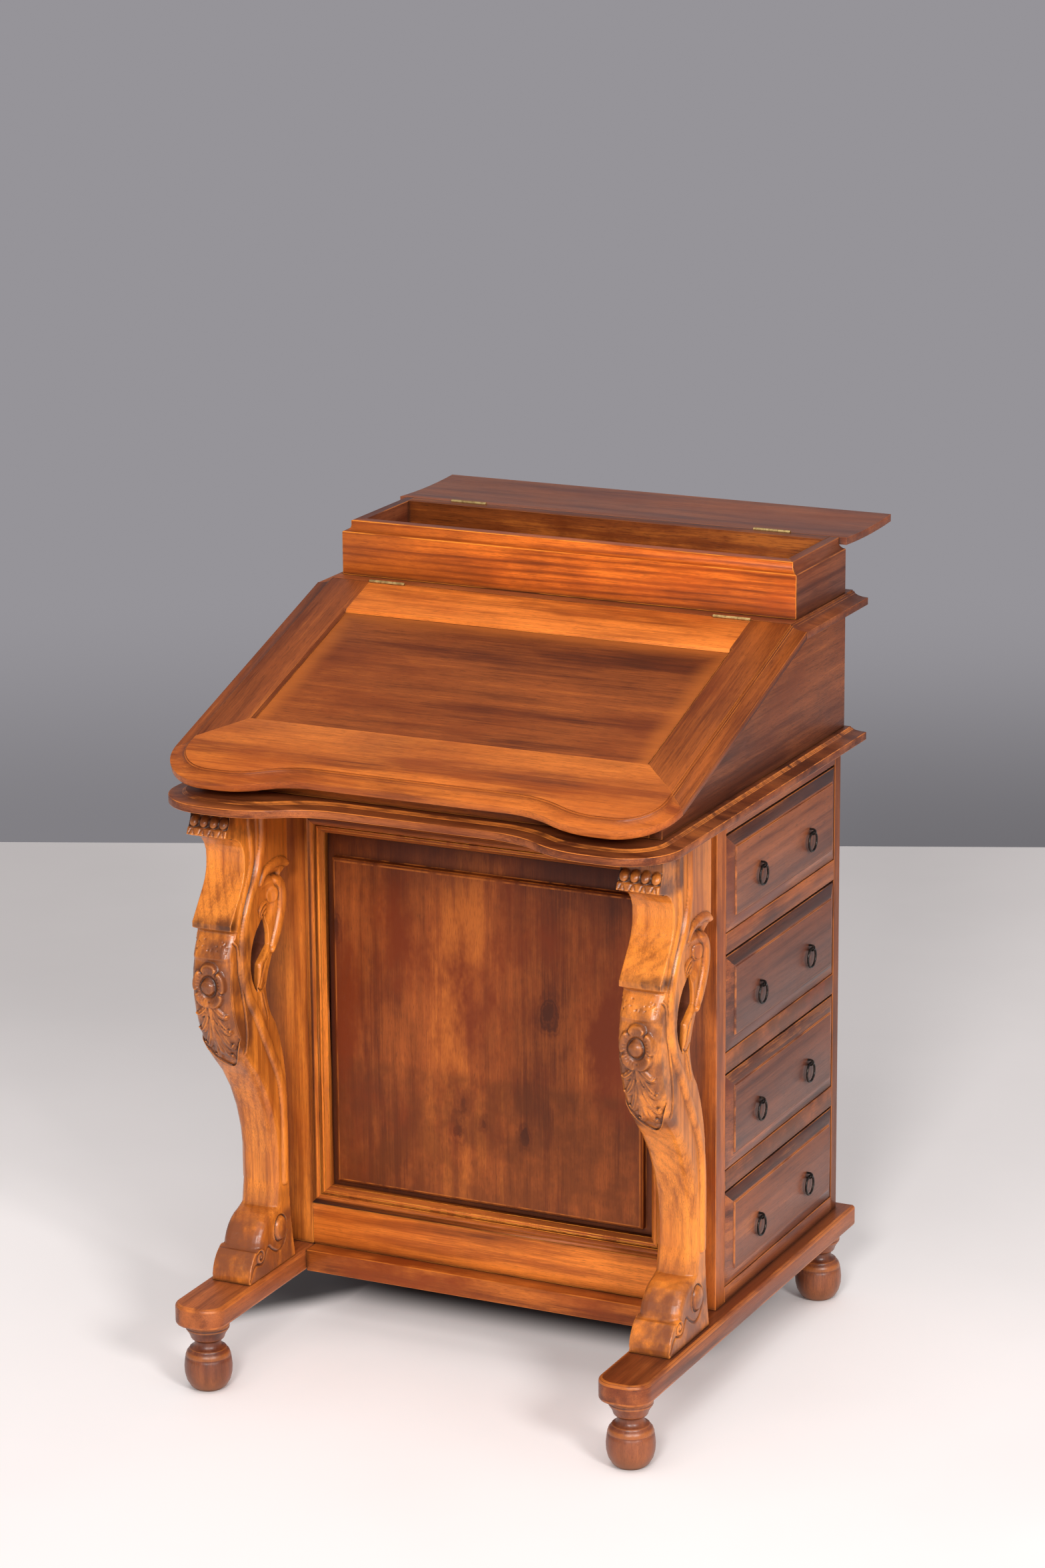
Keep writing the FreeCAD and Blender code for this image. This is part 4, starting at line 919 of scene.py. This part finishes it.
class DAVENPORT_OT_finish_drawers(bpy.types.Operator):
    """Finishes the drawers and the rails between them"""
    bl_idname = "davenport.finish_drawers"
    bl_label = "Finish the drawers"

    def execute(self, context):
        settings = context.scene.davenport_wood
        fronts = ["drawer_%d_front" % number for number in range(1, 5)]
        rail = brown(0.28)
        dark = [(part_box(lower)[1].z - 12 * MM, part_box(upper)[0].z, 1.0, scaled(rail, 0.35), 0.8)
                for upper, lower in zip(fronts[1:], fronts[2:])]
        finish_board("drawer_rails", "Y", rail, 81, polish=0.4, contrast=1.3, mottle=0.9, stains=dark)
        pale = wood("drawer box wood", "X", (0.46, 0.19, 0.065), 82, gloss=0.6, corners=0.4, mottle=0.25,
                    contrast=0.6)
        shade = blended(settings.umber, settings.russet, 0.5)
        slope = wood("drawer moulding wood", "Y", shade, 89, mottle=0.9, contrast=1.6, polish=0.6,
                     gloss=0.28)
        # The slopes along a drawer's top get a darker finish, as painted shade.
        shade = blended(settings.umber, settings.stain, 0.55)
        shaded_upper_slope = wood("drawer moulding's upper wood", "Y", shade, 90, mottle=0.9, contrast=1.6,
                           polish=0.5, gloss=0.3)
        for i, (node, share) in enumerate(zip(fronts, (0.22, 0.0, 0.04, 0.10))):
            # A dark band along each front's edges paints the shade of the gap around it.
            rim = (face_extent(node), "YZ", 5 * MM, settings.stain, 0.9)
            piece = finish_board(node, "Y", brown(share), 83 + i, edge=0.8, width=0.7 * MM, polish=0.55,
                                 contrast=0.9, borders=[rim])
            stain_slopes(piece, slope, shaded_upper_slope)
            ease_top(piece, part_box(node)[1].z, 2.2 * MM)
            repaint(node.replace("front", "box"), pale)
        return {"FINISHED"}


class DAVENPORT_OT_forge_pulls(bpy.types.Operator):
    """Forges the ring pulls, and blackens the staples that hold them"""
    bl_idname = "davenport.forge_pulls"
    bl_label = "Forge the ring pulls"

    def execute(self, context):
        iron = blackened_iron("blackened iron")
        for number in range(1, 5):
            for end in ("front", "rear"):
                node = "drawer_%d_ring_%s" % (number, end)
                low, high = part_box(node)
                centre = (low + high) / 2
                wire = (high.x - low.x) / 2
                reach = (high.z - low.z) / 2 - wire
                path = [centre + reach * Vector((0, math.sin(a), math.cos(a))) for a in full_turn(72)]
                ring = link_object("forged_" + node, ring_mesh(node, path, wire), node, iron)
                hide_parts(node)
            repaint("drawer_%d_staples" % number, iron)
        return {"FINISHED"}


class DAVENPORT_OT_polish_hinges(bpy.types.Operator):
    """Polishes the brass butt hinges"""
    bl_idname = "davenport.polish_hinges"
    bl_label = "Polish the hinges"

    def execute(self, context):
        metal = brass("worn brass")
        for node in frame["nodes"]:
            if "hinge" in node:
                repaint(node, metal)
        return {"FINISHED"}


# --- Stage ---
def seen_directly(graph):
    """1 for what is seen directly, in a reflection or through glass, and 0 for what lights the desk."""
    paths = ("Is Camera Ray", "Is Glossy Ray", "Is Transmission Ray")
    camera, glossy, through = (graph.node("ShaderNodeLightPath", output=path) for path in paths)
    return graph.math("MINIMUM", camera + glossy + through, 1.0)


def area_lamp(name, place, size, power):
    """A round lamp that faces the middle of the desk."""
    lamp = bpy.data.lights.new(name, "AREA")
    lamp.shape = "DISK"
    lamp.size = size
    lamp.energy = power
    turn = (Vector((0.0, 0.0, 0.45)) - Vector(place)).to_track_quat("-Z", "Y")
    placed(name, lamp, Matrix.Translation(place) @ turn.to_matrix().to_4x4())


class DAVENPORT_OT_set_stage(bpy.types.Operator):
    """Lays the floor and sets the lamps and the camera"""
    bl_idname = "davenport.set_stage"
    bl_label = "Set the stage"

    def execute(self, context):
        studio = context.scene.davenport_studio
        self.lay_floor(studio)
        self.light_world(studio)
        area_lamp("Left lamp", (1.58, -5.63, 3.25), 1.3, studio.left)
        area_lamp("Right lamp", (4.28, -3.23, 2.95), 1.3, studio.right)
        area_lamp("Top lamp", (0.3, -1.0, 3.6), 2.4, studio.top)
        self.set_camera(studio)
        context.scene.view_settings.view_transform = "Standard"
        return {"FINISHED"}

    def lay_floor(self, studio):
        """A floor that ends in a straight line behind the desk."""
        mesh = bpy.data.meshes.new("floor")
        foot = Vector((-0.13, 1.98, 0.0))
        along = Vector((1.413, 0.601, 0.0)).normalized() * 9.0
        corners = [foot - along, Vector((-6, -12, 0)), Vector((10, -12, 0)), foot + along]
        mesh.from_pydata(corners, [], [(0, 1, 2, 3)])
        material, graph = new_material("painted floor")
        place = graph.coordinate()
        across, depth = place.part("X"), place.part("Y")
        under = self.shade_under_desk(graph, across, depth)
        colour = place.noise(2.2, 6.0).between(0.35, 0.75).mix(studio.floor[:], scaled(studio.floor, 0.95))
        # Painted shadow: the floor's colour is darkened under the pedestal and the left runner.
        colour = (under * (across.between(-0.25, -0.19) * 0.1 + 0.82)).mix(colour, BLACK)
        # Painted light and shade in the floor's glow: brightest around the desk, fading toward the far front
        # and the back, and dimmed by ambient occlusion near the desk and under it.
        lift = (depth.between(-1.6, -0.3) * 0.32 + 0.68) * (1 - depth.between(0.0, 0.9) * 0.5)
        lift = seen_directly(graph) * lift * graph.shelter(8, 0.11).between(0.15, 0.8) * (1 - under)
        glow = lift.mix(BLACK, scaled(studio.floor, studio.glow))
        surface(graph, {"Base Color": colour, "Roughness": 0.55, "Specular IOR Level": 0.2,
                        "Emission Color": glow, "Emission Strength": 1.0})
        mesh.materials.append(material)
        floor = placed("floor", mesh)

    def shade_under_desk(self, graph, across, depth):
        """1 on the floor where the pedestal and the left runner keep the lamps' light away, for a painted
        shadow.
        """
        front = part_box("base_front_rail")[0].y
        skew = graph.math("MINIMUM", across + 0.225, 0.0) * 1.3
        shade = (depth - skew).between(front + 0.09, front + 0.17) * (1 - depth.between(0.16, 0.33))
        return shade * across.between(-0.36, -0.31) * (1 - across.between(0.14, 0.24))

    def light_world(self, studio):
        """A wall that darkens toward the floor where it is seen, with a painted shadow of the desk low on
        its right, and an even grey where it lights.
        """
        world = bpy.data.worlds.new("Studio")
        bpy.context.scene.world = world
        world.use_nodes = True
        world.node_tree.nodes.clear()
        graph = Wire(world.node_tree)
        sight = graph.coordinate("Generated")
        height = sight.part("Z")
        wall = height.between(-0.275, -0.225).mix(scaled(studio.wall, 0.72), studio.wall[:])
        # Painted shadow of the desk on the wall, low and to the right.
        shade = (1 - height.between(-0.30, -0.235)) * sight.part("X").between(-0.42, -0.34) * 0.34
        colour = seen_directly(graph).mix((0.24, 0.24, 0.25), shade.mix(wall, BLACK))
        light = graph.node("ShaderNodeBackground", None, {"Color": colour})
        graph.node("ShaderNodeOutputWorld", None, {"Surface": light})

    def set_camera(self, studio):
        camera = bpy.data.cameras.new("Camera")
        camera.sensor_fit = "VERTICAL"
        camera.sensor_height = 36.0
        camera.lens = studio.lens
        place = Matrix.Translation((2.0459, -4.2946, 1.9263))
        for angle, axis in ((25.664, "Z"), (90 - 15.45, "X"), (-0.444, "Z")):
            place = place @ Matrix.Rotation(math.radians(angle), 4, axis)
        bpy.context.scene.camera = placed("Camera", camera, place)


class DAVENPORT_PT_desk(bpy.types.Panel):
    bl_idname = "DAVENPORT_PT_desk"
    bl_label = "Davenport desk"
    bl_space_type = "VIEW_3D"
    bl_region_type = "UI"
    bl_category = "Davenport"

    def draw(self, context):
        for group, kind in SETTINGS.items():
            for name in kind.__annotations__:
                self.layout.prop(getattr(context.scene, group), name)
        for operator in OPERATORS:
            self.layout.operator(operator.bl_idname)


OPERATORS = (
    DAVENPORT_OT_finish_base, DAVENPORT_OT_turn_feet, DAVENPORT_OT_carve_legs, DAVENPORT_OT_finish_case,
    DAVENPORT_OT_finish_tops, DAVENPORT_OT_finish_lid, DAVENPORT_OT_finish_pen_box,
    DAVENPORT_OT_finish_drawers, DAVENPORT_OT_forge_pulls, DAVENPORT_OT_polish_hinges,
    DAVENPORT_OT_set_stage)
SETTINGS = {"davenport_wood": WoodSettings, "davenport_carving": CarvingSettings,
            "davenport_studio": StudioSettings}


def register():
    for name, group in SETTINGS.items():
        bpy.utils.register_class(group)
        setattr(bpy.types.Scene, name, bpy.props.PointerProperty(type=group))
    for kind in (*OPERATORS, DAVENPORT_PT_desk):
        bpy.utils.register_class(kind)


def unregister():
    for kind in (DAVENPORT_PT_desk, *reversed(OPERATORS)):
        bpy.utils.unregister_class(kind)
    for name, group in SETTINGS.items():
        delattr(bpy.types.Scene, name)
        bpy.utils.unregister_class(group)


def main():
    register()
    for operator in OPERATORS:
        family, verb = operator.bl_idname.split(".")
        getattr(getattr(bpy.ops, family), verb)()


if __name__ == "__main__":
    main()
